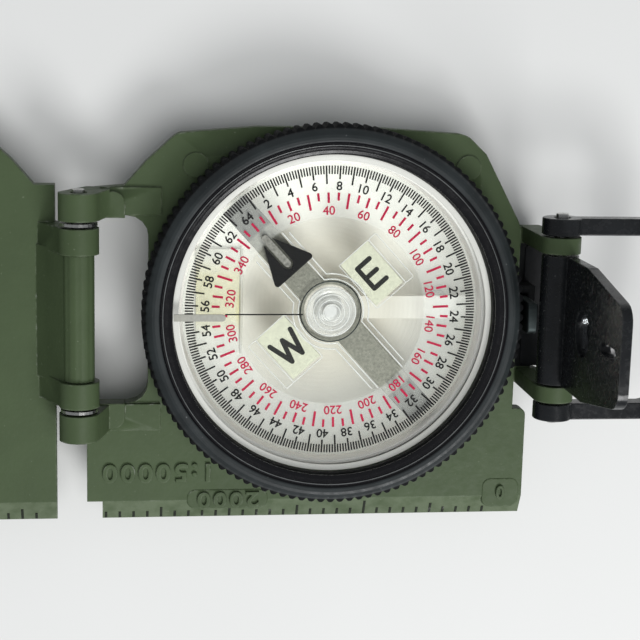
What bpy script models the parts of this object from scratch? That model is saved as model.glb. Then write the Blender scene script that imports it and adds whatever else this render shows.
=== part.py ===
"""A folding sighting compass: base, turning bezel, floating dial, hinged cover, rear sight and thumb loop.

Lengths are in millimetres and become metres when a mesh is made. The origin is on the dial's
axis, in the flat face under the base. +X points to the rear sight, +Z up through the dial.
"""

import math

import bmesh
import bpy
from mathutils import Matrix, Vector

MM = 0.001
GAP = 0.3  # free space between two pieces that touch
ROUND = 64  # sides of a large turned body

# The floating dial and what hangs on it
DIAL_R = 21.3
DIAL_THICK = 0.4
DIAL_EDGE_GAP = 0.45
DIAL_ABOVE_PLATE = 1.0
NORTH_TURN = math.radians(42.6)  # the dial's north, anticlockwise from +Y
BAR_WIDTH = 4.2
BAR_THICK = 0.6
BAR_END_GAP = 0.5
BAR_HUB_R = 4.5
HUB_R = 3.5
HUB_DOME = 1.0
HUB_CAVITY_R = 1.3
JEWEL_R = 0.95
JEWEL_THICK = 0.9
ARROW_BASE_R = 7.8
ARROW_TIP_R = 15.4
ARROW_WIDTH = 7.4
ARROW_THICK = 0.3
ARROW_ROUND = 0.45
VIAL_INNER_R = 9.0
VIAL_LENGTH = 5.8
VIAL_WIDTH = 1.0
LETTER_PLATE = (5.2, 8.0, 0.3)  # across the bar, along it, thick
LETTER_PLATE_R = 8.0

# The bowl, the pivot and the dial lock
BOWL_WALL = 0.3
FLOOR_THICK = 1.8
POST_R = 1.5
POST_FOOT_R = 3.2
POST_FOOT = 0.6
POST_TOP = 6.3
NEEDLE_R = 0.3
NEEDLE_DEPTH = 2.4
LEVER_WIDTH = 3.4
LEVER_THICK = 0.6
LEVER_TOP = 7.6
LEVER_RING_R = 3.6
LEVER_PIVOT_MARGIN = 4.75  # from its axis to the bowl's wall
LEVER_TILT = math.radians(4.4)
FULCRUM_LENGTH = 1.6
LIGHT_SIZE = (6.4, 15.6, 0.4)
LIGHT_MARGIN = 1.3  # from its outer corners to the bowl's wall

# The base casting
PLATE_TOP = 10.0
PLATE_THICK = 2.4
CUP_WALL = 2.85
CUP_FOOT = 1.2
LEDGE = 0.65
RIM_WALL = 1.2
EDGE_MARGIN = 4.15
BEVEL_WIDTH = 3.0
BEVEL_LIP = 0.8
WING_MARGIN = 0.95
BAR_RAISE = 0.5
SHELF_TOP = 6.0
SHELF_BOTTOM = 4.2
WEB_HALF = 3.6
NOTCH_MARGIN = 1.05
BOSS_R = 1.8
BOSS_RAISE = 0.35

# Glass, seals and bezel
GLASS_THICK = 0.8
GASKET_THICK = 0.4
GASKET_WIDTH = 0.4
SNAP_RING = (0.8, 0.4)  # width, thickness
HEADROOM = 0.5
BEZEL_WALL = 2.05
BEZEL_LIFT = 0.8
KNURL_DEPTH = 0.5
KNURL_COUNT = 120
LIP_WIDTH = 1.6
LIP_THICK = 0.3
LIP_SLOPE = 0.5
TOP_FACE = 1.0
CHAMFER = (0.8, 0.6)
KEEPER_R = 0.35
CLICK_SIZE = (5.0, 1.1, 0.5)
LINE_SIZE = (7.2, 1.0, 0.2)

# Hinges, cover, sight and thumb loop
HINGE_R = 2.8
PIN_R = 0.9
COVER_HINGE_MARGIN = 8.55
COVER_KNUCKLE = (8.9, 12.5)
BASE_KNUCKLE = (13.5, 17.3)
WASHER_THICK = 0.4
WASHER_R = 2.6
COVER_CLEARANCE = 1.0
COVER_THICK = 2.4
COVER_BULGE = 2.0
COVER_FLOOR = 1.8
RECESS_MARGIN = 3.05  # from the recess to the bezel's outer edge, when the cover is shut
COVER_END_MARGIN = 3.95
SLOT_WIDTH = 4.6
SLOT_MARGINS = (6.6, 14.4)  # from the recess's far and near edges to the wire's slot
WIRE_R = 0.2
COVER_VIAL_R = 1.0
SIGHT_HINGE_MARGIN = 4.65
SIGHT_BARREL_R = 2.6
SIGHT_HALF = 9.2
SIGHT_TOP_HALF = 6.5
SIGHT_HEIGHT = 27.0
SIGHT_THICK = 1.4
EYE_HEIGHT = 11.0
EYE_BORE_R = 4.0
EYE_WALL = 1.0
EYE_DEPTH = 1.8
EYE_LEDGE = 0.8
LENS_THICK = 0.8
SIGHT_SLOT = (1.6, 6.0)
EAR_WIDTH = 2.3
LOOP_THICK = 2.8
LOOP_ARM = 2.4
LOOP_REACH = 18.3
LOOP_CORNER = 5.5
PLUNGER_SIZE = (1.4, 4.4)
PLUNGER_PRESS = 0.1  # how far the tab stands above the folded sight

# Heights and radii that follow from the ones above
bowl_in_r = DIAL_R + DIAL_EDGE_GAP
bowl_out_r = bowl_in_r + BOWL_WALL
cavity_r = bowl_out_r + GAP
seat_r = cavity_r + LEDGE
rim_r = seat_r + RIM_WALL
bore_r = rim_r + GAP
knurl_root_r = bore_r + BEZEL_WALL
knurl_r = knurl_root_r + KNURL_DEPTH
cup_r = cavity_r + CUP_WALL
lever_pivot_x = bowl_in_r - LEVER_PIVOT_MARGIN
bowl_low = FLOOR_THICK + GAP
bowl_floor = bowl_low + BOWL_WALL
plate_low = PLATE_TOP - PLATE_THICK
dial_top = PLATE_TOP + DIAL_ABOVE_PLATE
dial_low = dial_top - DIAL_THICK
bar_top = dial_low - GAP
bar_low = bar_top - BAR_THICK
ledge_z = dial_top + HEADROOM
gasket_low = ledge_z + GAP
glass_low = gasket_low + GASKET_THICK + GAP
glass_top = glass_low + GLASS_THICK
snap_low = glass_top + GAP
rim_top = snap_low + SNAP_RING[1] + 0.1
cap_low = rim_top + 0.5
cap_top = cap_low + GLASS_THICK
lip_low = cap_top + GAP
bezel_low = PLATE_TOP + BEZEL_LIFT
bezel_top = lip_low + LIP_THICK + LIP_SLOPE
sight_x = knurl_r + SIGHT_HINGE_MARGIN
sight_z = bezel_top
cover_in_z = sight_z + GAP + SIGHT_THICK + EYE_DEPTH + COVER_CLEARANCE
cover_x = -(knurl_r + COVER_HINGE_MARGIN)
cover_z = (cover_in_z + PLATE_TOP) / 2
edge_y = -(knurl_r + EDGE_MARGIN)
pin_bore_r = PIN_R + GAP
ear_in = SIGHT_HALF + GAP
ear_out = ear_in + EAR_WIDTH
loop_in = ear_out + GAP
loop_out = loop_in + LOOP_ARM

OLIVE = ("olive_paint", (0.085, 0.125, 0.055), 0.55, 0.0)
BLACK = ("black_finish", (0.012, 0.013, 0.015), 0.4, 0.0)
STEEL = ("plain_steel", (0.55, 0.55, 0.53), 0.3, 1.0)
SILVER = ("bowl_metal", (0.8, 0.8, 0.78), 0.35, 1.0)
CLEAR = ("clear_plastic", (0.9, 0.92, 0.9), 0.1, 0.0)
GLOW = ("luminous", (0.72, 0.78, 0.5), 0.5, 0.0)
MAGNET = ("magnet_metal", (0.3, 0.3, 0.28), 0.45, 1.0)
RUBBER = ("seal_rubber", (0.02, 0.02, 0.02), 0.8, 0.0)
JEWEL = ("jewel", (0.75, 0.1, 0.15), 0.1, 0.0)


def clear_scene():
    for obj in list(bpy.data.objects):
        bpy.data.objects.remove(obj, do_unlink=True)


def material(finish):
    name, colour, roughness, metallic = finish
    if name in bpy.data.materials:
        return bpy.data.materials[name]
    made = bpy.data.materials.new(name)
    made.use_nodes = True
    shader = made.node_tree.nodes["Principled BSDF"]
    shader.inputs["Base Color"].default_value = (*colour, 1.0)
    shader.inputs["Roughness"].default_value = roughness
    shader.inputs["Metallic"].default_value = metallic
    return made


def from_bmesh(name, bm, finish):
    """One object from a closed bmesh in millimetres."""
    bmesh.ops.recalc_face_normals(bm, faces=bm.faces)
    bmesh.ops.scale(bm, vec=(MM, MM, MM), verts=bm.verts)
    mesh = bpy.data.meshes.new(name)
    bm.to_mesh(mesh)
    bm.free()
    mesh.shade_smooth()
    mesh.set_sharp_from_angle(angle=math.radians(35))
    obj = bpy.data.objects.new(name, mesh)
    obj.data.materials.append(material(finish))
    bpy.context.scene.collection.objects.link(obj)
    return obj


def arc(x, y, r, start, end, count):
    """Points along an arc, both ends included, with the angles in degrees."""
    step = (end - start) / count
    turns = [math.radians(start + step * i) for i in range(count + 1)]
    return [(x + r * math.cos(t), y + r * math.sin(t)) for t in turns]


def rounded(corners, count=4):
    """An outline from corners (x, y, radius), each turned into a round of that radius."""
    points = []
    for i, (x, y, r) in enumerate(corners):
        here = Vector((x, y))
        if not r:
            points.append((x, y))
            continue
        back = Vector(corners[i - 1][:2]) - here
        ahead = Vector(corners[(i + 1) % len(corners)][:2]) - here
        half = back.angle(ahead) / 2
        reach = min(r / math.tan(half), 0.48 * back.length, 0.48 * ahead.length)
        r = reach * math.tan(half)
        centre = here + (back.normalized() + ahead.normalized()).normalized() * r / math.sin(half)
        first = here + back.normalized() * reach - centre
        last = here + ahead.normalized() * reach - centre
        turn = first.angle_signed(last)
        for step in range(count + 1):
            # angle_signed is clockwise positive, so the rotation is its negative.
            spoke = Matrix.Rotation(-turn * step / count, 2) @ first
            points.append(tuple(centre + spoke))
    return points


def rectangle(x_low, y_low, x_high, y_high, r):
    """A rectangle's outline with its four corners rounded."""
    return rounded([(x_low, y_low, r), (x_high, y_low, r), (x_high, y_high, r), (x_low, y_high, r)])


def turned(name, profile, finish, steps=32, centre=(0.0, 0.0), along="Z"):
    """A body of revolution from a closed section of (radius, height) points."""
    bm = bmesh.new()
    rings = []
    for r, h in profile:
        if r < 1e-6:
            rings.append([bm.verts.new((0, 0, h))])
            continue
        turns = [2 * math.pi * i / steps for i in range(steps)]
        rings.append([bm.verts.new((r * math.cos(t), r * math.sin(t), h)) for t in turns])
    for one, two in zip(rings, rings[1:] + rings[:1]):
        for i in range(steps):
            j = (i + 1) % steps
            ends = [one[i % len(one)], one[j % len(one)], two[j % len(two)], two[i % len(two)]]
            face = list(dict.fromkeys(ends))
            if len(face) > 2:
                bm.faces.new(face)
    if along == "Y":
        bmesh.ops.rotate(bm, verts=bm.verts, matrix=Matrix.Rotation(-math.pi / 2, 3, "X"))
        shift = (centre[0], 0, centre[1])
    elif along == "X":
        bmesh.ops.rotate(bm, verts=bm.verts, matrix=Matrix.Rotation(math.pi / 2, 3, "Y"))
        shift = (0, centre[0], centre[1])
    else:
        shift = (centre[0], centre[1], 0)
    bmesh.ops.translate(bm, verts=bm.verts, vec=shift)
    return from_bmesh(name, bm, finish)


def disc(name, r, low, high, finish, **place):
    return turned(name, [(0, low), (r, low), (r, high), (0, high)], finish, **place)


def ring(name, inner, outer, low, high, finish, **place):
    return turned(name, [(inner, low), (outer, low), (outer, high), (inner, high)], finish, **place)


def prism(name, outline, low, high, finish, along="Z"):
    """A straight-sided body: the outline is in XY, XZ or YZ, and is extruded along the third axis."""
    order = {"Z": lambda a, b, h: (a, b, h), "Y": lambda a, b, h: (a, h, b), "X": lambda a, b, h: (h, a, b)}
    bm = bmesh.new()
    face = bm.faces.new([bm.verts.new(order[along](a, b, low)) for a, b in outline])
    grown = bmesh.ops.extrude_face_region(bm, geom=[face])
    lift = order[along](0, 0, high - low)
    tops = [item for item in grown["geom"] if isinstance(item, bmesh.types.BMVert)]
    bmesh.ops.translate(bm, verts=tops, vec=lift)
    return from_bmesh(name, bm, finish)


def block(name, low, high, finish):
    outline = [(low[0], low[1]), (high[0], low[1]), (high[0], high[1]), (low[0], high[1])]
    return prism(name, outline, low[2], high[2], finish)


def combine(obj, tool, operation):
    """Adds or takes away another solid, which stays in the file as a hidden guide."""
    tool.hide_render = True
    tool.display_type = "WIRE"
    step = obj.modifiers.new(f"{operation.lower()}_{tool.name}", "BOOLEAN")
    step.operation = operation
    step.solver = "EXACT"
    step.object = tool


def add(obj, *tools):
    for tool in tools:
        combine(obj, tool, "UNION")


def cut(obj, *tools):
    for tool in tools:
        combine(obj, tool, "DIFFERENCE")


def pivot(name, x, y, z):
    """An empty on a joint's axis, which carries the pieces that turn there."""
    empty = bpy.data.objects.new(name, None)
    empty.location = (x * MM, y * MM, z * MM)
    bpy.context.scene.collection.objects.link(empty)
    return empty


def carry(empty, *pieces):
    for piece in pieces:
        piece.parent = empty
        piece.matrix_parent_inverse = Matrix.Translation(-empty.location)


def straight_edge(name, x_low, x_high, low, high):
    """The ruler's bevelled strip, thick along the plate and thin at its edge."""
    inner_y = edge_y + BEVEL_WIDTH
    root_y = inner_y + 1.0
    section = [(root_y, low), (edge_y, low), (edge_y, low + BEVEL_LIP), (inner_y, high), (root_y, high)]
    return prism(name, section, x_low, x_high, OLIVE, along="X")


def wing_outline(sign, shift):
    """The plate's far corner points, from the sight end round to the cover end."""
    wing_y = knurl_r - WING_MARGIN
    points = [
        (knurl_r + 0.15, 13.0, 0.0),
        (knurl_r - 5.05, wing_y - 3.5, 1.0),
        (knurl_r - 8.0, wing_y - 0.7, 3.0),
        (6.9, wing_y, 8.0),
        (-10.8, wing_y, 8.0),
        (-knurl_r + 5.0, wing_y - 1.0, 2.5),
        (-knurl_r + 0.65, wing_y - 5.0, 1.5),
        (-knurl_r - 2.3, BASE_KNUCKLE[1] + 0.4, 0.0),
    ]
    return [(shift + sign * x, y, r) for x, y, r in points]


def base_plate():
    """The flat plate: ruler side, wing side, and two arms out to the cover's hinge."""
    inner_y = edge_y + BEVEL_WIDTH
    left = -(knurl_r + 7.65)
    right = knurl_r + 2.55
    corners = [
        (left, inner_y, 0.0),
        (right, inner_y, 0.0),
        (right, -(loop_out + GAP), 1.0),
        (knurl_r + 0.55, -(loop_out + GAP), 0.0),
        (knurl_r + 0.55, -ear_out, 0.0),
        (knurl_r + 0.55, ear_out, 0.0),
    ]
    corners += wing_outline(1, 0.0)
    corners += [
        (left + 1.2, BASE_KNUCKLE[1], 0.0),
        (left + 1.2, BASE_KNUCKLE[0], 0.0),
        (-(knurl_r - NOTCH_MARGIN), BASE_KNUCKLE[0], 3.0),
        (-(knurl_r - NOTCH_MARGIN), -BASE_KNUCKLE[0], 3.0),
        (left + 1.2, -BASE_KNUCKLE[0], 0.0),
        (left + 1.2, -BASE_KNUCKLE[1], 0.0),
        (left, -BASE_KNUCKLE[1], 0.0),
    ]
    return prism("base_casting", rounded(corners), plate_low, PLATE_TOP, OLIVE), left, right


def cover_ear(name, side, x_low, x_high, foot):
    """A knuckle of the base on the cover's hinge, with the web that carries it."""
    outline = arc(cover_x, cover_z, HINGE_R, 20, 200, 12) + [(x_low, foot), (x_high, foot)]
    span = sorted((side * BASE_KNUCKLE[0], side * BASE_KNUCKLE[1]))
    return prism(name, outline, span[0], span[1], OLIVE, along="Y")


def sight_ear(name, side):
    """A lug of the base on the sight's hinge."""
    low_x = sight_x - HINGE_R
    outline = arc(sight_x, sight_z, HINGE_R, 0, 180, 12)
    outline += [(low_x, SHELF_BOTTOM), (sight_x, SHELF_BOTTOM), (sight_x + HINGE_R, sight_z - HINGE_R)]
    span = sorted((side * ear_in, side * ear_out))
    return prism(name, outline, span[0], span[1], OLIVE, along="Y")


def pin_bore(name, x, z, half):
    return disc(name, pin_bore_r, -half, half, STEEL, steps=24, centre=(x, z), along="Y")


def base_casting():
    body, left, right = base_plate()
    cup_top = PLATE_TOP - 0.4
    wall = [(0, 0), (cup_r - CUP_FOOT - 1.0, 0), (cup_r - 0.4, CUP_FOOT)]
    wall += [(cup_r, 4.0), (cup_r, cup_top), (0, cup_top)]
    cup = turned("cup", wall, OLIVE, steps=ROUND)
    rim = disc("rim", rim_r, PLATE_TOP - 1.0, rim_top, OLIVE, steps=ROUND)
    ruler = straight_edge("ruler_side", left + 2.2, right, plate_low, PLATE_TOP)
    add(body, cup, rim, ruler)
    root_x = cup_r - 8
    for name, half, end_x, low, high in (
        ("shelf", ear_out - 0.1, sight_x - 0.6, SHELF_BOTTOM, SHELF_TOP),
        ("deck", ear_out - 0.15, knurl_r - 0.15, SHELF_BOTTOM + 0.4, PLATE_TOP - 0.2),
        ("web", WEB_HALF, knurl_r + 3.1, SHELF_BOTTOM + 0.2, PLATE_TOP - 0.1),
    ):
        add(body, block(name, (root_x, -half, low), (end_x, half, high), OLIVE))
    for side, tag in ((1, "upper"), (-1, "lower")):
        add(body, cover_ear(f"cover_ear_{tag}", side, cover_x + 0.9, cover_x + 5.1, plate_low + 0.2))
        add(body, sight_ear(f"sight_ear_{tag}", side))
        inner, outer = BASE_KNUCKLE[0] - 0.2, BASE_KNUCKLE[1] - 0.3
        boss = rounded(
            [
                (cover_x + 2.8, side * inner, 0.0),
                (cover_x + 6.3, side * inner, 0.0),
                (cover_x + 6.3, side * outer, 1.7),
                (cover_x + 2.8, side * outer, 1.7),
            ]
        )
        add(body, prism(f"boss_{tag}", boss, PLATE_TOP - 0.6, PLATE_TOP + 1.4, OLIVE))
        bar = [
            (left + 2.0, side * (BASE_KNUCKLE[0] + 0.1)),
            (-rim_r, side * (BASE_KNUCKLE[0] + 0.1)),
            (-rim_r, side * (BASE_KNUCKLE[1] + 0.2)),
            (left + 2.0, side * (BASE_KNUCKLE[1] + 0.2)),
        ]
        add(body, prism(f"arm_rib_{tag}", bar, PLATE_TOP - 0.5, PLATE_TOP + BAR_RAISE, OLIVE))
        mark = (side * (knurl_r - 7.6), knurl_r - 6.4)
        high = PLATE_TOP + BOSS_RAISE
        add(body, disc(f"mark_{tag}", BOSS_R, PLATE_TOP - 0.8, high, OLIVE, steps=24, centre=mark))
    mouth = rim_top + 1
    steps_in = [(0, FLOOR_THICK), (cavity_r, FLOOR_THICK), (cavity_r, ledge_z)]
    steps_in += [(seat_r, ledge_z), (seat_r, mouth), (0, mouth)]
    hollow = turned("hollow", steps_in, OLIVE, steps=ROUND)
    groove = (keeper_z() - KEEPER_R - GAP, keeper_z() + KEEPER_R + GAP)
    keeper = ring("keeper_groove", rim_r - 0.5, rim_r + 1, *groove, OLIVE, steps=ROUND)
    slot = lever_slot("lever_slot", cavity_r - 2, sight_x - SIGHT_BARREL_R)
    well = block(
        "plunger_well",
        (plunger_x() - GAP, -PLUNGER_SIZE[1] / 2 - GAP, lever_low() - 1.4),
        (plunger_x() + PLUNGER_SIZE[0] + GAP, PLUNGER_SIZE[1] / 2 + GAP, PLATE_TOP + 1),
        OLIVE,
    )
    click = click_leaf("click_pocket", GAP)
    cut(body, hollow, keeper, slot, well, click)
    cut(body, pin_bore("cover_pin_bore", cover_x, cover_z, BASE_KNUCKLE[1] + 2))
    cut(body, pin_bore("sight_pin_bore", sight_x, sight_z, ear_out + 2))
    return body


def keeper_z():
    return (PLATE_TOP + ledge_z) / 2 + 1.0


def lever_low():
    return LEVER_TOP - LEVER_THICK


def plunger_x():
    return knurl_r + 0.35


def lever_slot(name, x_low, x_high):
    """The slit in the wall that the lock lever passes through and tilts in."""
    drop = (x_high - lever_pivot_x) * math.tan(LEVER_TILT)
    half = LEVER_WIDTH / 2 + GAP
    return block(name, (x_low, -half, lever_low() - drop - GAP), (x_high, half, LEVER_TOP + GAP), OLIVE)


def click_leaf(name, clearance):
    """The spring leaf under the bezel, or with a clearance the pocket it lies in."""
    length, width, thick = (side + 2 * clearance for side in CLICK_SIZE)
    middle = (rim_r + knurl_root_r) / 2 + 0.1
    low = PLATE_TOP - CLICK_SIZE[2] + 0.1 - clearance
    turn = math.radians(-62)
    corner = (-length / 2, middle - width / 2, low)
    leaf = block(name, corner, (length / 2, middle + width / 2, low + thick), STEEL)
    leaf.data.transform(Matrix.Rotation(turn, 4, "Z"))
    return leaf


def bowl_parts():
    bowl = turned(
        "damping_bowl",
        [
            (0, bowl_low),
            (bowl_out_r - 1.2, bowl_low),
            (bowl_out_r, bowl_low + 1.2),
            (bowl_out_r, ledge_z),
            (bowl_in_r, ledge_z),
            (bowl_in_r, bowl_low + 1.3),
            (bowl_in_r - 1.0, bowl_floor),
            (0, bowl_floor),
        ],
        SILVER,
        steps=ROUND,
    )
    cut(bowl, lever_slot("bowl_slit", bowl_in_r - 3, bowl_out_r + 1))
    foot = bowl_floor + GAP
    turned(
        "pivot_post",
        [
            (0, foot),
            (POST_FOOT_R, foot),
            (POST_FOOT_R, foot + POST_FOOT),
            (POST_R, foot + POST_FOOT + 0.5),
            (POST_R, POST_TOP),
            (NEEDLE_R + GAP, POST_TOP),
            (NEEDLE_R + GAP, POST_TOP - NEEDLE_DEPTH),
            (0, POST_TOP - NEEDLE_DEPTH),
        ],
        STEEL,
        steps=32,
    )
    tip = jewel_low() - GAP
    base = POST_TOP - NEEDLE_DEPTH + GAP
    point = [(0, base), (NEEDLE_R, base), (NEEDLE_R, tip - 0.9), (0, tip)]
    turned("pivot_needle", point, STEEL, steps=16)
    half = LEVER_WIDTH / 2
    block(
        "lever_fulcrum",
        (lever_pivot_x - FULCRUM_LENGTH / 2, -half, foot),
        (lever_pivot_x + FULCRUM_LENGTH / 2, half, lever_low() - GAP),
        STEEL,
    )
    wide, long, thick = LIGHT_SIZE
    outer = math.sqrt((bowl_in_r - LIGHT_MARGIN) ** 2 - (long / 2) ** 2)
    block("bowl_light", (-outer, -long / 2, foot), (wide - outer, long / 2, foot + thick), GLOW)


def lock_lever():
    """The lever that lifts towards the dial's hub when the plunger presses its outer end."""
    half = LEVER_WIDTH / 2
    outer = plunger_x() + PLUNGER_SIZE[0]
    lever = block("lock_lever", (LEVER_RING_R - 1.0, -half, lever_low()), (outer, half, LEVER_TOP), STEEL)
    eye = disc("lever_eye", LEVER_RING_R, lever_low(), LEVER_TOP, STEEL, steps=32)
    add(lever, eye)
    cut(lever, disc("lever_eye_hole", POST_R + 2 * GAP, lever_low() - 1, LEVER_TOP + 1, STEEL, steps=32))
    carry(pivot("lever_axis", lever_pivot_x, 0, lever_low() - 0.1), lever)


def lock_plunger():
    """The upright tab that the folded sight presses down."""
    half = PLUNGER_SIZE[1] / 2
    top = sight_z + GAP + PLUNGER_PRESS
    low = LEVER_TOP + GAP
    outline = rounded([(-half, low, 0), (half, low, 0), (half, top, 0.8), (-half, top, 0.8)])
    x = plunger_x()
    plunger = prism("lock_plunger", outline, x, x + PLUNGER_SIZE[0], STEEL, along="X")
    carry(pivot("plunger_axis", x + PLUNGER_SIZE[0] / 2, 0, LEVER_TOP + GAP), plunger)


def jewel_low():
    return bar_low + 0.2


def hub_low():
    return bar_low - GAP


def glass_and_seals():
    glass_r = seat_r - GAP
    disc("lower_glass", glass_r, glass_low, glass_top, CLEAR, steps=ROUND)
    for name, width, low, thick, finish in (
        ("glass_gasket", GASKET_WIDTH, gasket_low, GASKET_THICK, RUBBER),
        ("snap_ring", SNAP_RING[0], snap_low, SNAP_RING[1], STEEL),
    ):
        ring(name, glass_r - width, glass_r, low, low + thick, finish, steps=ROUND)
    wire = [(r, z) for r, z in arc(rim_r + 0.15, keeper_z(), KEEPER_R, 0, 315, 7)]
    turned("bezel_keeper_wire", wire, STEEL, steps=48)
    click_leaf("bezel_click_spring", 0.0)


def bezel():
    """The knurled ring: plain turned rings inside, and a tip and a root for every tooth outside."""
    root, tip = knurl_root_r, knurl_r
    chamfer_r = root - 0.15
    top_out = chamfer_r - CHAMFER[0]
    lip_r = bowl_in_r + 1.15
    inner = [
        (top_out, bezel_top),
        (top_out - TOP_FACE, bezel_top),
        (lip_r + 0.6, lip_low + LIP_THICK + 0.2),
        (lip_r, lip_low + LIP_THICK),
        (lip_r, lip_low),
        (bore_r, lip_low),
        (bore_r, keeper_z() + 0.65),
        (bore_r + 0.5, keeper_z() + 0.5),
        (bore_r + 0.5, keeper_z() - 0.5),
        (bore_r, keeper_z() - 0.65),
        (bore_r, bezel_low),
    ]
    bm = bmesh.new()

    def band(r_even, r_odd, h, count):
        verts = []
        for i in range(count):
            r = r_odd if i % 2 else r_even
            turn = 2 * math.pi * i / count
            verts.append(bm.verts.new((r * math.cos(turn), r * math.sin(turn), h)))
        return verts

    def quads(one, two):
        for i in range(len(one)):
            j = (i + 1) % len(one)
            bm.faces.new((one[i], one[j], two[j], two[i]))

    def flare(coarse, fine):
        """Joins a ring to the next one out, which has twice its points."""
        for i in range(len(coarse)):
            j = (i + 1) % len(coarse)
            a, b, c = fine[2 * i], fine[2 * i + 1], fine[(2 * i + 2) % len(fine)]
            bm.faces.new((coarse[i], a, b))
            bm.faces.new((coarse[i], b, coarse[j]))
            bm.faces.new((coarse[j], b, c))

    plain = [band(r, r, h, KNURL_COUNT // 2) for r, h in inner]
    shoulder = band(chamfer_r, chamfer_r, bezel_top - CHAMFER[1], KNURL_COUNT)
    skirt = band(chamfer_r, chamfer_r, bezel_low, KNURL_COUNT)
    high = band(tip, root, bezel_top - CHAMFER[1] - 0.25, 2 * KNURL_COUNT)
    low = band(tip, root, bezel_low + 0.3, 2 * KNURL_COUNT)
    for one, two in zip(plain, plain[1:]):
        quads(one, two)
    flare(plain[-1], skirt)
    flare(skirt, low)
    quads(low, high)
    flare(shoulder, high)
    flare(plain[0], shoulder)
    body = from_bmesh("bezel_ring", bm, BLACK)
    cap = disc("bezel_glass", bore_r - GAP, cap_low, cap_top, CLEAR, steps=ROUND)
    outer = lip_r - GAP
    line = block(
        "bezel_line",
        (-outer, -LINE_SIZE[1] / 2, cap_top + GAP),
        (-outer + LINE_SIZE[0], LINE_SIZE[1] / 2, cap_top + GAP + LINE_SIZE[2]),
        GLOW,
    )
    carry(pivot("bezel_axis", 0, 0, bezel_low), body, cap, line)


def dial():
    """The floating card with its magnet, hub, jewel, arrow and letter plates, drawn with north along +Y."""
    card = disc("dial_disc", DIAL_R, dial_low, dial_top, CLEAR, steps=ROUND)
    cut(card, disc("card_hole", HUB_R + GAP, dial_low - 1, dial_top + 1, CLEAR, steps=32))
    half = BAR_WIDTH / 2
    reach = math.sqrt((DIAL_R - BAR_END_GAP) ** 2 - half**2)
    bar = block("magnet_bar", (-half, -reach, bar_low), (half, reach, bar_top), MAGNET)
    add(bar, disc("bar_centre", BAR_HUB_R, bar_low, bar_top, MAGNET, steps=32))
    cut(bar, disc("bar_hole", HUB_R + GAP, bar_low - 1, bar_top + 1, MAGNET, steps=32))
    roof = dial_top + 0.1
    rises = [math.radians(15 * step) for step in range(6)]
    dome = [(HUB_R * math.cos(rise), roof + HUB_DOME * math.sin(rise)) for rise in rises]
    roof_in = jewel_top() + GAP
    socket = [(0, roof_in), (HUB_CAVITY_R, roof_in), (HUB_CAVITY_R, hub_low()), (HUB_R, hub_low())]
    hub = turned("dial_hub", [*socket, *dome, (0, roof + HUB_DOME)], CLEAR)
    jewel = disc("dial_jewel", JEWEL_R, jewel_low(), jewel_top(), JEWEL, steps=16)
    deck = dial_top + GAP
    half = ARROW_WIDTH / 2
    corners = [(-half, ARROW_BASE_R, ARROW_ROUND), (half, ARROW_BASE_R, ARROW_ROUND), (0, ARROW_TIP_R, 0)]
    arrow = prism("north_arrow", rounded(corners), deck, deck + ARROW_THICK, BLACK)
    slot = capsule("arrow_slot", GAP, ARROW_TIP_R - ARROW_BASE_R, deck - 1, deck + 1)
    cut(arrow, slot)
    vial = capsule("north_vial", 0, VIAL_LENGTH, deck, deck + ARROW_THICK)
    pieces = [card, bar, hub, jewel, arrow, vial]
    across, along, thick = LETTER_PLATE
    for name, side in (("east_plate", 1), ("west_plate", -1)):
        middle = side * LETTER_PLATE_R
        low = (middle - across / 2, -along / 2, bar_top - thick)
        high = (middle + across / 2, along / 2, bar_top)
        pieces.append(block(name, low, high, GLOW))
    axis = pivot("dial_axis", 0, 0, dial_top)
    for piece in [*pieces, slot]:
        piece.data.transform(Matrix.Rotation(NORTH_TURN, 4, "Z"))
    carry(axis, *pieces)


def jewel_top():
    return jewel_low() + JEWEL_THICK


def capsule(name, clearance, length, low, high):
    """A flat bar with round ends along the arrow: the vial, or with a clearance the slot around it."""
    half = VIAL_WIDTH / 2
    ends = (VIAL_INNER_R + half, VIAL_INNER_R + length - half)
    r = half + clearance
    outline = arc(0, ends[1], r, 0, 180, 8) + arc(0, ends[0], r, 180, 360, 8)
    return prism(name, outline, low, high, GLOW)


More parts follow.
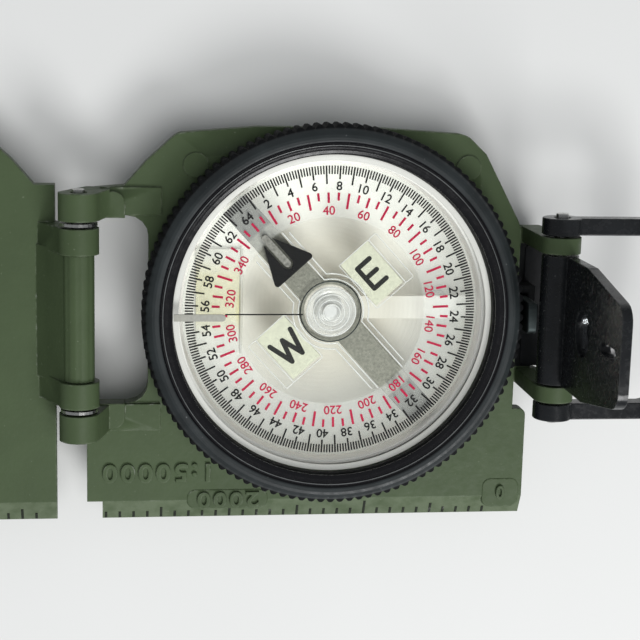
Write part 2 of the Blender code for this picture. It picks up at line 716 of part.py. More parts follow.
def cover():
    """The cover at rest, opened flat: its inner face is up and level with the base plate."""
    top = 2 * cover_z - cover_in_z
    low = top - COVER_THICK
    centre = 2 * cover_x
    near = cover_x - HINGE_R - 2 * GAP
    far = centre - (knurl_r + COVER_END_MARGIN)
    inner_y = edge_y + BEVEL_WIDTH
    ruler_far = centre - (knurl_r + 2.55)
    corners = [
        (near, inner_y, 0.0),
        (near, BASE_KNUCKLE[1] + 0.4, 0.0),
    ]
    corners += list(reversed(wing_outline(-1, centre)))
    corners += [
        (far + 1.6, ear_out - 0.6, 1.5),
        (far, ear_in - 0.5, 1.5),
        (far, -(ear_in - 0.5), 1.5),
        (far + 1.6, -(ear_out - 0.6), 1.5),
        (ruler_far + 2.0, -(ear_out - 0.6), 0.0),
        (ruler_far + 2.0, -(loop_out + GAP), 0.0),
        (ruler_far, -(loop_out + GAP), 1.0),
        (ruler_far, inner_y, 0.0),
    ]
    body = prism("cover_plate", rounded(corners), low, top, OLIVE)
    ruler = straight_edge("cover_ruler", ruler_far, near, low, top)
    recess_r = knurl_r - RECESS_MARGIN
    bulge_r = recess_r + 1.0
    under = low - COVER_BULGE
    shell = [(0, under), (bulge_r - 2.2, under), (bulge_r, low - 0.4), (bulge_r, low + 0.5), (0, low + 0.5)]
    bulge = turned("cover_bulge", shell, OLIVE, steps=ROUND, centre=(centre, 0))
    add(body, ruler, bulge)
    arm = arc(cover_x, cover_z, HINGE_R, -40, 180, 14)
    arm += [(near - 2.0, top + 0.5), (near - 4.0, low + 0.2), (near - 0.4, low + 0.2)]
    for side, tag in ((1, "upper"), (-1, "lower")):
        span = sorted((side * COVER_KNUCKLE[0], side * COVER_KNUCKLE[1]))
        add(body, prism(f"cover_arm_{tag}", arm, span[0], span[1], OLIVE, along="Y"))
    sill = [
        (near - 4.2, low + 0.3),
        (near - 0.5, low + 0.3),
        (cover_x + 1.0, cover_z - 2.2),
        (cover_x + 1.0, cover_z + 0.4),
        (cover_x + 0.3, cover_z + 0.8),
        (cover_x - 1.9, cover_z + 0.8),
        (near - 2.2, top + 0.6),
    ]
    add(body, prism("cover_sill", sill, -COVER_KNUCKLE[0] - 0.5, COVER_KNUCKLE[0] + 0.5, OLIVE, along="Y"))
    floor = under + COVER_FLOOR
    dish = [(0, floor), (recess_r - 1.6, floor), (recess_r, floor + 1.2), (recess_r, top + 1), (0, top + 1)]
    recess = turned("cover_recess", dish, OLIVE, steps=ROUND, centre=(centre, 0))
    far_end = centre - recess_r + SLOT_MARGINS[0]
    near_end = centre + recess_r - SLOT_MARGINS[1]
    half = SLOT_WIDTH / 2
    slot = rectangle(far_end, -half, near_end, half, half)
    cut(body, recess, prism("wire_slot", slot, under - 1, top + 1, OLIVE))
    cut(body, pin_bore("cover_arm_bore", cover_x, cover_z, COVER_KNUCKLE[1] + 1))
    vial_top = floor + GAP + 0.5
    wire_z = floor + GAP + WIRE_R
    x_ends = (far_end - 1.4, near_end + 1.4)
    wire = disc("sighting_wire", WIRE_R, x_ends[0], x_ends[1], STEEL, steps=12, centre=(0, wire_z), along="X")
    offset = 1.4 + COVER_VIAL_R + GAP
    dots = [
        disc(name, COVER_VIAL_R, floor + GAP, vial_top, GLOW, steps=24, centre=(x, 0))
        for name, x in (("cover_vial_far", far_end - offset), ("cover_vial_near", near_end + offset))
    ]
    carry(pivot("cover_axis", cover_x, 0, cover_z), body, wire, *dots)


def cover_hinge():
    """A pin and a thin spring washer at each side of the cover's hinge."""
    for side, tag in ((1, "upper"), (-1, "lower")):
        ends = sorted((side * (COVER_KNUCKLE[0] + 0.4), side * (BASE_KNUCKLE[1] + 0.5)))
        place = {"steps": 24, "centre": (cover_x, cover_z), "along": "Y"}
        disc(f"cover_pin_{tag}", PIN_R, ends[0], ends[1], STEEL, **place)
        middle = (COVER_KNUCKLE[1] + BASE_KNUCKLE[0]) / 2 * side
        span = (middle - WASHER_THICK / 2, middle + WASHER_THICK / 2)
        ring(f"hinge_washer_{tag}", pin_bore_r, WASHER_R, span[0], span[1], STEEL, **place)


def sight():
    """The rear sight, standing: a plate on a barrel, with the eyepiece low and the slot above it."""
    front = sight_x + GAP
    back = front + SIGHT_THICK
    root = sight_z - 1.0
    top = sight_z + SIGHT_HEIGHT
    outline = rounded(
        [
            (-SIGHT_HALF, root, 0.0),
            (SIGHT_HALF, root, 0.0),
            (SIGHT_HALF, sight_z + 12.0, 3.0),
            (SIGHT_TOP_HALF, top, 2.5),
            (-SIGHT_TOP_HALF, top, 2.5),
            (-SIGHT_HALF, sight_z + 12.0, 3.0),
        ],
        count=5,
    )
    plate = prism("sight_bracket", outline, front, back, BLACK, along="X")
    at_hinge = {"centre": (sight_x, sight_z), "along": "Y"}
    barrel = disc("sight_barrel", SIGHT_BARREL_R, -SIGHT_HALF, SIGHT_HALF, BLACK, **at_hinge)
    eye_z = sight_z + EYE_HEIGHT
    at_eye = {"centre": (0, eye_z), "along": "X"}
    housing = disc("eye_housing", EYE_BORE_R + EYE_WALL, front + 0.4, back + EYE_DEPTH, BLACK, **at_eye)
    add(plate, barrel, housing)
    cut(plate, pin_bore("sight_barrel_bore", sight_x, sight_z, SIGHT_HALF + 1))
    cut(plate, disc("eye_bore", EYE_BORE_R, back - 0.6, back + EYE_DEPTH + 1, BLACK, **at_eye))
    cut(plate, disc("eye_window", EYE_BORE_R - EYE_LEDGE, front - 1, back + 1, BLACK, **at_eye))
    half = SIGHT_SLOT[0] / 2
    slot_z = top - 2.0 - SIGHT_SLOT[1]
    slot = rectangle(-half, slot_z, half, slot_z + SIGHT_SLOT[1], half)
    cut(plate, prism("sight_slot", slot, front - 1, back + 1, BLACK, along="X"))
    fit_r = EYE_BORE_R - GAP
    lens_x = back - 0.6 + GAP
    lens = disc("eye_lens", fit_r, lens_x, lens_x + LENS_THICK, CLEAR, **at_eye)
    keep_x = lens_x + LENS_THICK + GAP
    keeper = ring("lens_keeper", fit_r - EYE_LEDGE, fit_r, keep_x, keep_x + 0.5, BLACK, **at_eye)
    carry(pivot("sight_axis", sight_x, 0, sight_z), plate, lens, keeper)
    disc("sight_pin", PIN_R, -loop_out - 0.6, loop_out + 0.6, STEEL, steps=24, **at_hinge)


def thumb_loop():
    """The finger loop, straight out from its eyes on the sight's pin."""
    tip = sight_x + LOOP_REACH
    low, high = sight_z - LOOP_THICK / 2, sight_z + LOOP_THICK / 2
    outer = [(sight_x, loop_out, 0), (sight_x, -loop_out, 0)]
    outer += [(tip, -loop_out, LOOP_CORNER), (tip, loop_out, LOOP_CORNER)]
    back, end, corner = sight_x - 5, tip - LOOP_ARM, LOOP_CORNER - LOOP_ARM
    inner = [(back, loop_in, 0), (back, -loop_in, 0), (end, -loop_in, corner), (end, loop_in, corner)]
    loop = prism("thumb_loop", rounded(outer), low, high, BLACK)
    for side, name in ((1, "loop_eye_upper"), (-1, "loop_eye_lower")):
        span = sorted((side * loop_in, side * loop_out))
        add(loop, disc(name, HINGE_R, span[0], span[1], BLACK, centre=(sight_x, sight_z), along="Y"))
    cut(loop, prism("loop_gap", rounded(inner), low - 3, high + 3, BLACK))
    cut(loop, pin_bore("loop_bore", sight_x, sight_z, loop_out + 1))
    carry(pivot("loop_axis", sight_x, 0, sight_z), loop)


def main():
    clear_scene()
    base_casting()
    bowl_parts()
    lock_lever()
    lock_plunger()
    glass_and_seals()
    bezel()
    dial()
    cover()
    cover_hinge()
    sight()
    thumb_loop()


if __name__ == "__main__":
    main()
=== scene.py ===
"""The looks of a folding sighting compass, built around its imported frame.

Each sub-assembly is a class with its own sizes, in millimetres, and each finish is a small frozen
class that wires one procedural material. Places come from the frame's nodes.
"""

import logging
import math
from collections.abc import Iterable, Sequence
from dataclasses import dataclass, field
from enum import Enum

import bmesh
import bpy
from mathutils import Matrix, Vector


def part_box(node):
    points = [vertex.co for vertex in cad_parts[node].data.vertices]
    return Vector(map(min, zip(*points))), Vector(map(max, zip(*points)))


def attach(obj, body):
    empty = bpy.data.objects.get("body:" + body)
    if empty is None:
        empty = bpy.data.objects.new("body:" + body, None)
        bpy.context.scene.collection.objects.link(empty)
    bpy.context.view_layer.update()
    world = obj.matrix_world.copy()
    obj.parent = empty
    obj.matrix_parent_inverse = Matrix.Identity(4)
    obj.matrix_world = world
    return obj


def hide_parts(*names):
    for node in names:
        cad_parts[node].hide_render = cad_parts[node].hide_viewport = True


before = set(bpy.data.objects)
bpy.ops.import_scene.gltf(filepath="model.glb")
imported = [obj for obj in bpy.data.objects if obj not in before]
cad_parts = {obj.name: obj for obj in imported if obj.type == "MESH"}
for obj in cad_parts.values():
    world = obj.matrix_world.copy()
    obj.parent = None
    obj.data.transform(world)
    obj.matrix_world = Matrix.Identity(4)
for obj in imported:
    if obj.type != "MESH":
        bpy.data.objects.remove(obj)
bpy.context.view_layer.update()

MM = 0.001
SHARP = 24.0  # degrees past which a cast edge is rounded over
SCALE_ZERO = 26.0  # where the map scale starts, along the straight edge
SCALE_PITCH = 2.0  # a hundred metres on it
Point = tuple[float, float]
Points = Sequence[Point]
Triple = tuple[float, float, float]
Colour = Triple
Socket = bpy.types.NodeSocket
Piece = bpy.types.Object
Draft = bmesh.types.BMesh
log = logging.getLogger("compass")


class Body(Enum):
    """The frame's bodies that a piece can ride on."""

    BASE = "base"
    BEZEL = "bezel"
    DIAL = "dial"
    COVER = "cover"
    SIGHT = "sight"
    LOOP = "loop"
    LEVER = "lever"
    PLUNGER = "plunger"


class Slot(Enum):
    """The material slots that a finish can belong to."""

    OLIVE = "olive_paint"
    BLACK = "black_paint"
    STEEL = "plain_steel"
    BOWL = "bowl_metal"
    MAGNET = "magnet_metal"
    CRYSTAL = "crystal"
    PLASTIC = "clear_plastic"
    LUMINOUS = "luminous"
    RUBBER = "seal_rubber"
    JEWEL = "jewel"


# ---------------------------------------------------------------- finishes


def shade(colour: Colour, share: float) -> Colour:
    """A colour made darker or lighter by a share."""
    return tuple(share * c for c in colour)


class Bench:
    """Adds and joins the shader nodes of one material."""

    def __init__(self, material: bpy.types.Material) -> None:
        """Starts from an empty tree with an output node.

        Args:
            material: the material to wire.
        """
        material.use_nodes = True
        self.tree = material.node_tree
        self.tree.nodes.clear()
        self.out = self.tree.nodes.new("ShaderNodeOutputMaterial")
        self.place = self.node("TexCoord", {}).outputs["Object"]

    def node(self, kind: str, inputs: dict, **settings: object) -> bpy.types.Node:
        """Adds a node.

        Args:
            kind: the node's type, without ShaderNode before it.
            inputs: a value or another node's output for each named or numbered input.
            settings: the node's own properties.

        Returns:
            The new node.
        """
        made = self.tree.nodes.new("ShaderNode" + kind)
        for name, value in settings.items():
            setattr(made, name, value)
        for name, value in inputs.items():
            if isinstance(value, Socket):
                self.tree.links.new(value, made.inputs[name])
            elif value is not None:
                made.inputs[name].default_value = value
        return made

    def noise(self, scale: float, detail: float = 3.0) -> Socket:
        """A noise of so many features to the metre, with finer octaves, as a value round 0.5."""
        inputs = {"Vector": self.place, "Scale": scale, "Detail": detail}
        return self.node("TexNoise", inputs).outputs["Fac"]

    def spread(self, value: Socket, low: float, high: float, to: Point = (0.0, 1.0)) -> Socket:
        """Maps the span from low to high onto to, and holds it there."""
        inputs = {"Value": value, "From Min": low, "From Max": high, "To Min": to[0], "To Max": to[1]}
        return self.node("MapRange", inputs, clamp=True).outputs[0]

    def cloud(self, scale: float, detail: float, low: float = 0.3, high: float = 0.7,
              to: Point = (0.0, 1.0)) -> Socket:
        """A noise whose span from low to high is mapped onto to."""
        return self.spread(self.noise(scale, detail), low, high, to)

    def maths(self, what: str, one: object, two: object = None) -> Socket:
        """One step of arithmetic on values."""
        return self.node("Math", {0: one, 1: two}, operation=what).outputs[0]

    def times(self, one: object, two: object) -> Socket:
        """One value times another."""
        return self.maths("MULTIPLY", one, two)

    def blend(self, share: object, one: object, two: object) -> Socket:
        """Mixes two colours.

        Args:
            share: from 0 for the first to 1 for the second.
            one: the first, as a colour or an output.
            two: the second.

        Returns:
            The mixed colour.
        """
        made = self.node("Mix", {"Factor": share}, data_type="RGBA")
        for socket, value in ((made.inputs[6], one), (made.inputs[7], two)):
            if isinstance(value, Socket):
                self.tree.links.new(value, socket)
            else:
                socket.default_value = (*value, 1.0)
        return made.outputs[2]

    def axis(self, name: str) -> Socket:
        """The place along one axis, in metres."""
        return self.node("SeparateXYZ", {0: self.place}).outputs[name]

    def radius(self) -> Socket:
        """The distance from the dial's axis, in metres."""
        flat = self.node("VectorMath", {0: self.place, 1: (1, 1, 0)}, operation="MULTIPLY").outputs[0]
        return self.node("VectorMath", {0: flat}, operation="LENGTH").outputs["Value"]

    def beyond(self, value: Socket, limit: float, soft: float, to: Point = (0.0, 1.0)) -> Socket:
        """Whether a place is past a limit in millimetres, with a soft step of so much either side."""
        return self.spread(value, (limit - soft) * MM, (limit + soft) * MM, to)

    def edges(self, reach: float = 0.35) -> Socket:
        """How near a point is to an edge, broken up by a noise.

        Args:
            reach: how far from the edge it counts, in millimetres.

        Returns:
            A value from 0, well away, to 1.
        """
        eased = self.node("Bevel", {"Radius": reach * MM}, samples=4).outputs[0]
        plain = self.node("NewGeometry", {}).outputs["Normal"]
        same = self.node("VectorMath", {0: eased, 1: plain}, operation="DOT_PRODUCT").outputs["Value"]
        near = self.spread(self.maths("SUBTRACT", 1.0, same), 0.01, 0.14)
        return self.times(near, self.cloud(900, 4, 0.4, 0.65))

    def bump(self, height: Socket, depth: float, strength: float = 1.0, eased: float = 0.0) -> Socket:
        """A bent normal from a height pattern.

        Args:
            height: the pattern.
            depth: how deep it is, in millimetres.
            strength: the share of it that shows.
            eased: how far, in millimetres, the normal is eased round an edge.

        Returns:
            The bent normal.
        """
        inputs = {"Height": height, "Distance": depth * MM, "Strength": strength}
        if eased:
            inputs["Normal"] = self.node("Bevel", {"Radius": eased * MM}, samples=4).outputs[0]
        return self.node("Bump", inputs).outputs[0]

    def principled(self, colour: object, roughness: object, normal: object = None, **more: object) -> Socket:
        """A Principled shader.

        Args:
            colour: a colour, or the output that drives it.
            roughness: a value, or the output that drives it.
            normal: the output that bends its normal.
            more: other inputs, with _ for a space in their names.

        Returns:
            The shader's output.
        """
        inputs = {"Roughness": roughness}
        inputs["Base Color"] = colour if isinstance(colour, Socket) else (*colour, 1.0)
        if normal is not None:
            inputs["Normal"] = normal
        inputs.update({name.replace("_", " "): value for name, value in more.items()})
        return self.node("BsdfPrincipled", inputs).outputs[0]

    def pane(self, tint: Colour, ior: float, roughness: float, normal: Socket) -> Socket:
        """A clear wall that lets light through unbent and mirrors a share of it.

        Args:
            tint: the colour of what comes through.
            ior: the index that sets the share mirrored, straight on and at a slant.
            roughness: the mirror's roughness.
            normal: the output that bends its normal.

        Returns:
            The shader's output.
        """
        clear = self.node("BsdfTransparent", {"Color": (*tint, 1.0)}).outputs[0]
        inputs = {"Color": (1, 1, 1, 1), "Roughness": roughness, "Normal": normal}
        gloss = self.node("BsdfGlossy", inputs).outputs[0]
        straight = ((ior - 1) / (ior + 1)) ** 2
        facing = self.node("LayerWeight", {"Blend": 0.5}).outputs["Facing"]
        rise = self.times(self.maths("POWER", facing, 5.0), 1 - straight)
        return self.join(self.maths("ADD", rise, straight), clear, gloss)

    def join(self, share: object, one: Socket, two: Socket) -> Socket:
        """Mixes two shaders by a share."""
        return self.node("MixShader", {0: share, 1: one, 2: two}).outputs[0]


@dataclass(frozen=True)
class Finish:
    """A named finish. Each kind wires its own shader."""

    name: str
    slot: Slot

    @property
    def clear(self) -> bool:
        """Whether light goes through it, so that it neither shades nor dims what is under it."""
        return isinstance(self, (Glass, ClearPlastic))

    def shader(self, bench: Bench) -> Socket:
        """The shader's output, for the material's surface."""
        raise NotImplementedError

    def material(self) -> bpy.types.Material:
        """The material, which is made once.

        Returns:
            The material, wired.
        """
        made = bpy.data.materials.get(self.name)
        if made is None:
            made = bpy.data.materials.new(self.name)
            bench = Bench(made)
            bench.tree.links.new(self.shader(bench), bench.out.inputs["Surface"])
        return made


@dataclass(frozen=True)
class Paint(Finish):
    """Sprayed enamel on a casting: mottled, slightly pitted, and worn along its edges. It can paint a deep
    recess black, as painted shade, and a ruled bevel paler, as painted light.
    """

    colour: Colour = (0.054, 0.079, 0.037)
    # a pale tone for worn edges and dust, which also paints the ruled bevel paler as painted light
    worn_and_lit: Colour = (0.2, 0.235, 0.165)
    bare: Colour = (0.42, 0.43, 0.4)
    black: Colour = (0.008, 0.009, 0.009)
    roughness: float = 0.5
    pocket: Triple | None = None  # painted black from this x, within this y, below this z, as painted shade in the deep recess
    lit_bevel_below: float | None = None  # below this y, the ruled bevel is painted paler, as painted light on the face that meets the lamp

    def shader(self, bench: Bench) -> Socket:
        """Enamel whose edges show a lighter rub and a few bare chips.

        Args:
            bench: the material's nodes.

        Returns:
            The shader's output.
        """
        coat = bench.blend(bench.cloud(140, 4), shade(self.colour, 0.92), shade(self.colour, 1.06))
        coat = bench.blend(bench.times(bench.cloud(2600, 1, 0.74, 0.8), 0.35), coat, self.worn_and_lit)
        edge = bench.edges()
        coat = bench.blend(bench.times(edge, 0.6), coat, self.worn_and_lit)
        chips = bench.times(edge, bench.cloud(420, 2, 0.6, 0.64))
        coat = bench.blend(bench.times(chips, 0.5), coat, self.bare)
        # the deep recess beside the sight's hinge is painted black, as painted shade
        if self.pocket:
            x_low, half, z_high = self.pocket
            inside = bench.maths("GREATER_THAN", bench.axis("X"), x_low * MM)
            near = bench.maths("LESS_THAN", bench.maths("ABSOLUTE", bench.axis("Y")), half * MM)
            below = bench.maths("LESS_THAN", bench.axis("Z"), z_high * MM)
            coat = bench.blend(bench.times(bench.times(inside, near), below), coat, self.black)
        # the ruled bevel is painted paler in blotches, as painted light
        if self.lit_bevel_below:
            rub = bench.beyond(bench.axis("Y"), self.lit_bevel_below, 0.1, (0.32, 0.0))
            coat = bench.blend(bench.times(rub, bench.cloud(500, 3, 0.2, 0.6)), coat, self.worn_and_lit)
        pits = bench.maths("ADD", bench.noise(1500), bench.times(bench.noise(260, 2), 0.8))
        rough = bench.cloud(700, 3, to=(self.roughness - 0.07, self.roughness + 0.07))
        return bench.principled(coat, rough, bench.bump(pits, 0.05, 0.5, 0.3), Specular_IOR_Level=0.28)


@dataclass(frozen=True)
class Anodised(Finish):
    """Black anodised alloy with a fine grain, bright where an edge is worn through; its knurl can be painted
    darker, as painted shade in its grooves.
    """

    colour: Colour = (0.009, 0.01, 0.011)
    metal: Colour = (0.25, 0.26, 0.26)
    lip: Colour = (0.004, 0.004, 0.005)
    knurl: Colour = (0.003, 0.0035, 0.004)
    roughness: float = 0.4
    rub: float = 0.22
    inner: float | None = None  # inside this radius it is plain gloss black
    outer: float | None = None  # and beyond this one the knurl is made dull and painted near black, as painted shade of its grooves

    def shader(self, bench: Bench) -> Socket:
        """A dark coat whose worn edges show the alloy.

        Args:
            bench: the material's nodes.

        Returns:
            The shader's output.
        """
        coat = bench.blend(bench.cloud(220, 4), shade(self.colour, 0.75), shade(self.colour, 1.3))
        worn = bench.times(bench.edges(0.25), self.rub)
        spots = bench.times(bench.cloud(1900, 1, 0.76, 0.8), 0.3)
        coat = bench.blend(bench.maths("MAXIMUM", worn, spots), coat, self.metal)
        rough = bench.cloud(1200, 3, to=(self.roughness - 0.08, self.roughness + 0.1))
        normal = bench.bump(bench.noise(2600, 2), 0.02, 0.5)
        if self.inner:
            face = bench.beyond(bench.radius(), self.inner, 0.05)
            coat = bench.blend(face, self.lip, coat)
            rough = bench.times(rough, bench.maths("ADD", bench.times(face, 0.4), 0.6))
            turned = bench.maths("SINE", bench.times(bench.radius(), 14000.0))
            normal = bench.bump(bench.maths("ADD", turned, bench.noise(1600)), 0.012, 0.4)
        # the knurl's teeth are painted darker, as painted shade of their grooves, and made rougher
        if self.outer:
            grip = bench.beyond(bench.radius(), self.outer, 0.1)
            coat = bench.blend(grip, coat, self.knurl)
            rough = bench.maths("MAXIMUM", rough, bench.times(grip, 0.9))
        return bench.principled(coat, rough, normal, Specular_IOR_Level=0.3)


@dataclass(frozen=True)
class Metal(Finish):
    """Bare metal with a fine grain."""

    colour: Colour = (0.55, 0.55, 0.53)
    roughness: float = 0.28

    def shader(self, bench: Bench) -> Socket:
        """A metal that is a little stained and lightly scratched.

        Args:
            bench: the material's nodes.

        Returns:
            The shader's output.
        """
        tone = bench.blend(bench.cloud(260, 4), shade(self.colour, 0.86), self.colour)
        grain = bench.noise(2200, 2)
        rough = bench.spread(grain, 0.25, 0.75, (self.roughness - 0.07, self.roughness + 0.09))
        return bench.principled(tone, rough, bench.bump(grain, 0.012, 0.5), Metallic=1.0)


@dataclass(frozen=True)
class SatinBowl(Finish):
    """A bright satin cup: spun rings, and a warmer, duller floor in the middle."""

    # the default rim tone is the metal's white raised further, as painted light that lifts the bowl's lip
    # where it lies in shade
    rim: Colour = (0.96, 0.95, 0.91)
    floor: Colour = (0.86, 0.82, 0.74)
    whitens: Point = (9.0, 17.0)  # from this radius to that one, it turns from floor to rim
    roughness: float = 0.5

    def shader(self, bench: Bench) -> Socket:
        """Satin metal, whiter towards the wall.

        Args:
            bench: the material's nodes.

        Returns:
            The shader's output.
        """
        far = bench.radius()
        floor = bench.blend(bench.cloud(70, 3, 0.35, 0.65), shade(self.floor, 0.85), self.floor)
        start, end = self.whitens
        tone = bench.blend(bench.spread(far, start * MM, end * MM), floor, self.rim)
        rings = bench.maths("SINE", bench.times(far, 9000.0))
        rough = bench.cloud(900, 3, to=(self.roughness - 0.06, self.roughness + 0.08))
        return bench.principled(tone, rough, bench.bump(rings, 0.01, 0.35), Metallic=0.04)


@dataclass(frozen=True)
class Bar(Finish):
    """The magnet: fine grey metal, painted darker towards its two ends as painted shade under the card's
    outer band.
    """

    colour: Colour = (0.3, 0.295, 0.25)
    # the ends' colour is painted shade, where the card's outer band darkens the bar
    end: Colour = (0.08, 0.078, 0.065)
    shade_from: float = 15.4

    def shader(self, bench: Bench) -> Socket:
        """A sandblasted face whose end zones are painted dark, as painted shade.

        Args:
            bench: the material's nodes.

        Returns:
            The shader's output.
        """
        speck = bench.cloud(2600, 3, 0.35, 0.65)
        tone = bench.blend(speck, shade(self.colour, 0.8), shade(self.colour, 1.16))
        tone = bench.blend(bench.beyond(bench.radius(), self.shade_from, 0.2), tone, self.end)
        return bench.principled(tone, 0.5, bench.bump(bench.noise(3200), 0.02, 0.6), Metallic=0.35)


@dataclass(frozen=True)
class Glass(Finish):
    """Flat glass with faint smears in its polish."""

    tint: Colour = (0.985, 0.99, 0.985)
    ior: float = 1.16

    def shader(self, bench: Bench) -> Socket:
        """A clear pane."""
        return bench.pane(self.tint, self.ior, 0.03, bench.bump(bench.noise(60, 2), 0.01, 0.15))


@dataclass(frozen=True)
class ClearPlastic(Finish):
    """Moulded clear plastic, with a share of milkiness and a soft flow pattern."""

    tint: Colour = (0.96, 0.97, 0.955)
    white: Colour = (0.9, 0.91, 0.88)
    milk: float = 0.012
    shine: float = 1.16
    roughness: float = 0.08
    band: Triple | None = None  # from this radius to that one, the milk rises by so much

    def shader(self, bench: Bench) -> Socket:
        """A clear wall with some white in it.

        Args:
            bench: the material's nodes.

        Returns:
            The shader's output.
        """
        flow = bench.bump(bench.noise(300), 0.02, 0.2)
        clear = bench.pane(self.tint, self.shine, self.roughness, flow)
        milk = bench.cloud(240, 3, to=(0.7 * self.milk, 1.3 * self.milk))
        if self.band:
            start, full, extra = self.band
            zone = bench.spread(bench.radius(), start * MM, full * MM, (0.0, extra))
            milk = bench.maths("ADD", milk, zone)
        return bench.join(milk, clear, bench.principled(self.white, 0.3, flow))


@dataclass(frozen=True)
class Luminous(Finish):
    """Phosphor paint: pale, matt and grainy."""

    colour: Colour = (0.62, 0.66, 0.42)
    dull: Colour = (0.5, 0.5, 0.4)
    thin: Colour = (0.8, 0.79, 0.73)
    roughness: float = 0.6
    contrast: float = 0.12
    fade: Triple | None = None  # it thins out from so far to so far off this y

    def shader(self, bench: Bench) -> Socket:
        """A matt face with coarse pigment grains.

        Args:
            bench: the material's nodes.

        Returns:
            The shader's output.
        """
        low, high = shade(self.colour, 1 - self.contrast), shade(self.colour, 1 + self.contrast / 2)
        tone = bench.blend(bench.cloud(2400, 2), low, high)
        tone = bench.blend(bench.cloud(300, 3, 0.4, 0.8, (0, 0.12)), tone, self.dull)
        if self.fade:
            middle, near, far = (place * MM for place in self.fade)
            off = bench.maths("ABSOLUTE", bench.maths("SUBTRACT", bench.axis("Y"), middle))
            tone = bench.blend(bench.spread(off, near, far), tone, self.thin)
        return bench.principled(tone, self.roughness, bench.bump(bench.noise(2600, 2), 0.03, 0.5))


@dataclass(frozen=True)
class Ink(Finish):
    """Screen-printed ink, slightly uneven in its cover."""

    colour: Colour = (0.008, 0.008, 0.008)

    def shader(self, bench: Bench) -> Socket:
        """A flat ink with a fine grain.

        Args:
            bench: the material's nodes.

        Returns:
            The shader's output.
        """
        grain = bench.cloud(3600, 2)
        light = tuple(min(1.0, 1.5 * c + 0.004) for c in self.colour)
        ink = bench.blend(grain, self.colour, light)
        return bench.principled(ink, 0.6, bench.bump(grain, 0.01, 0.3), Specular_IOR_Level=0.12)


@dataclass(frozen=True)
class Rubber(Finish):
    """Matt black rubber."""

    colour: Colour = (0.016, 0.016, 0.016)
    light: Colour = (0.032, 0.032, 0.03)

    def shader(self, bench: Bench) -> Socket:
        """A dull, finely pitted black.

        Args:
            bench: the material's nodes.

        Returns:
            The shader's output.
        """
        pits = bench.noise(1800)
        tone = bench.blend(bench.spread(pits, 0.3, 0.7), self.colour, self.light)
        return bench.principled(tone, 0.8, bench.bump(pits, 0.04, 0.5))


OLIVE = Paint("olive_enamel", Slot.OLIVE)
# this finish paints the deep recess by the sight's hinge black, as painted shade, and the ruled bevel below y
# -28.2 paler, as painted light
OLIVE_CASTING = Paint("olive_enamel_casting", Slot.OLIVE, pocket=(26.0, 9.3, 9.98), lit_bevel_below=-28.2)
# the cover's ruled bevel below y -28.2 is painted paler, as painted light
OLIVE_COVER = Paint("olive_enamel_cover", Slot.OLIVE, lit_bevel_below=-28.2)
# dark olive for the ruler's marks, as painted shade of engraved grooves
OLIVE_GROOVE_SHADE = Paint("olive_painted_groove_shade", Slot.OLIVE, colour=(0.011, 0.015, 0.009), worn_and_lit=(0.03, 0.036, 0.024))
BLACK = Anodised("black_anodised", Slot.BLACK)
BLACK_BEZEL = Anodised("black_bezel", Slot.BLACK, colour=(0.018, 0.022, 0.023), inner=24.65, outer=26.45)
# a lighter copy of the black anodising, so the bead shows as a painted highlight line
BEAD_HIGHLIGHT = Anodised("bezel_bead_painted_highlight", Slot.BLACK, colour=(0.09, 0.095, 0.095), roughness=0.22)
BLACK_GLOSS = Anodised("black_enamel", Slot.BLACK, colour=(0.008, 0.009, 0.01), roughness=0.24, rub=0.2)
STEEL = Metal("spring_steel", Slot.STEEL)
BRIGHT = SatinBowl("bright_lever", Slot.STEEL, roughness=0.4)
DARK_STEEL = Metal("dark_steel", Slot.STEEL, colour=(0.07, 0.085, 0.085), roughness=0.5)
BOWL = SatinBowl("satin_bowl", Slot.BOWL)
RING = SatinBowl("satin_ring", Slot.STEEL, rim=(0.66, 0.66, 0.62))
MAGNET = Bar("magnet_face", Slot.MAGNET)
GLASS = Glass("flat_glass", Slot.CRYSTAL)
LENS = Glass("lens_glass", Slot.CRYSTAL, tint=(0.94, 0.96, 0.97), ior=1.55)
CARD = ClearPlastic("card_plastic", Slot.PLASTIC, band=(13.4, 13.8, 0.15))
# the ribs' milk is raised as painted highlight, for the bright edges of the clear moulding
RIB_HIGHLIGHT = ClearPlastic("moulded_ribs", Slot.PLASTIC, milk=0.6, shine=1.9, roughness=0.12)
HUB = ClearPlastic("hub_plastic", Slot.PLASTIC, tint=(0.93, 0.94, 0.93), milk=0.3, shine=1.8, roughness=0.12)
GLOW = Luminous("letter_phosphor", Slot.LUMINOUS, colour=(0.76, 0.76, 0.61))
GLOW_STRIP = Luminous("bowl_phosphor", Slot.LUMINOUS, colour=(0.78, 0.74, 0.46), fade=(0.8, 3.0, 6.0))
GLOW_GREY = Luminous("line_phosphor", Slot.LUMINOUS, colour=(0.34, 0.34, 0.3))
GLOW_VIAL = Luminous("vial_phosphor", Slot.LUMINOUS, colour=(0.27, 0.265, 0.235), contrast=0.45)
INK_BLACK = Ink("black_ink", Slot.BLACK)
INK_RED = Ink("red_ink", Slot.BLACK, colour=(0.38, 0.012, 0.05))
SEAL = Rubber("seal_rubber_face", Slot.RUBBER)
SAPPHIRE = Paint("pale_jewel", Slot.JEWEL, colour=(0.82, 0.82, 0.8), worn_and_lit=(0.9, 0.9, 0.9), roughness=0.2)


# ---------------------------------------------------------------- making pieces


def settle(obj: Piece, body: Body, finish: Finish, stands_for: Iterable[str] = ()) -> Piece:
    """Dresses a new piece, seats it on its body and reports it.

    Args:
        obj: the piece, in place.
        body: the body it rides on.
        finish: its finish.
        stands_for: the frame's nodes that it shows in place of.

    Returns:
        The same piece.
    """
    obj.data.materials.clear()
    obj.data.materials.append(finish.material())
    obj.visible_shadow = obj.visible_diffuse = not finish.clear
    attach(obj, body.value)
    if stands_for:
        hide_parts(*stands_for)
    log.info("%s on %s, %s", obj.name, body.value, finish.name)
    return obj


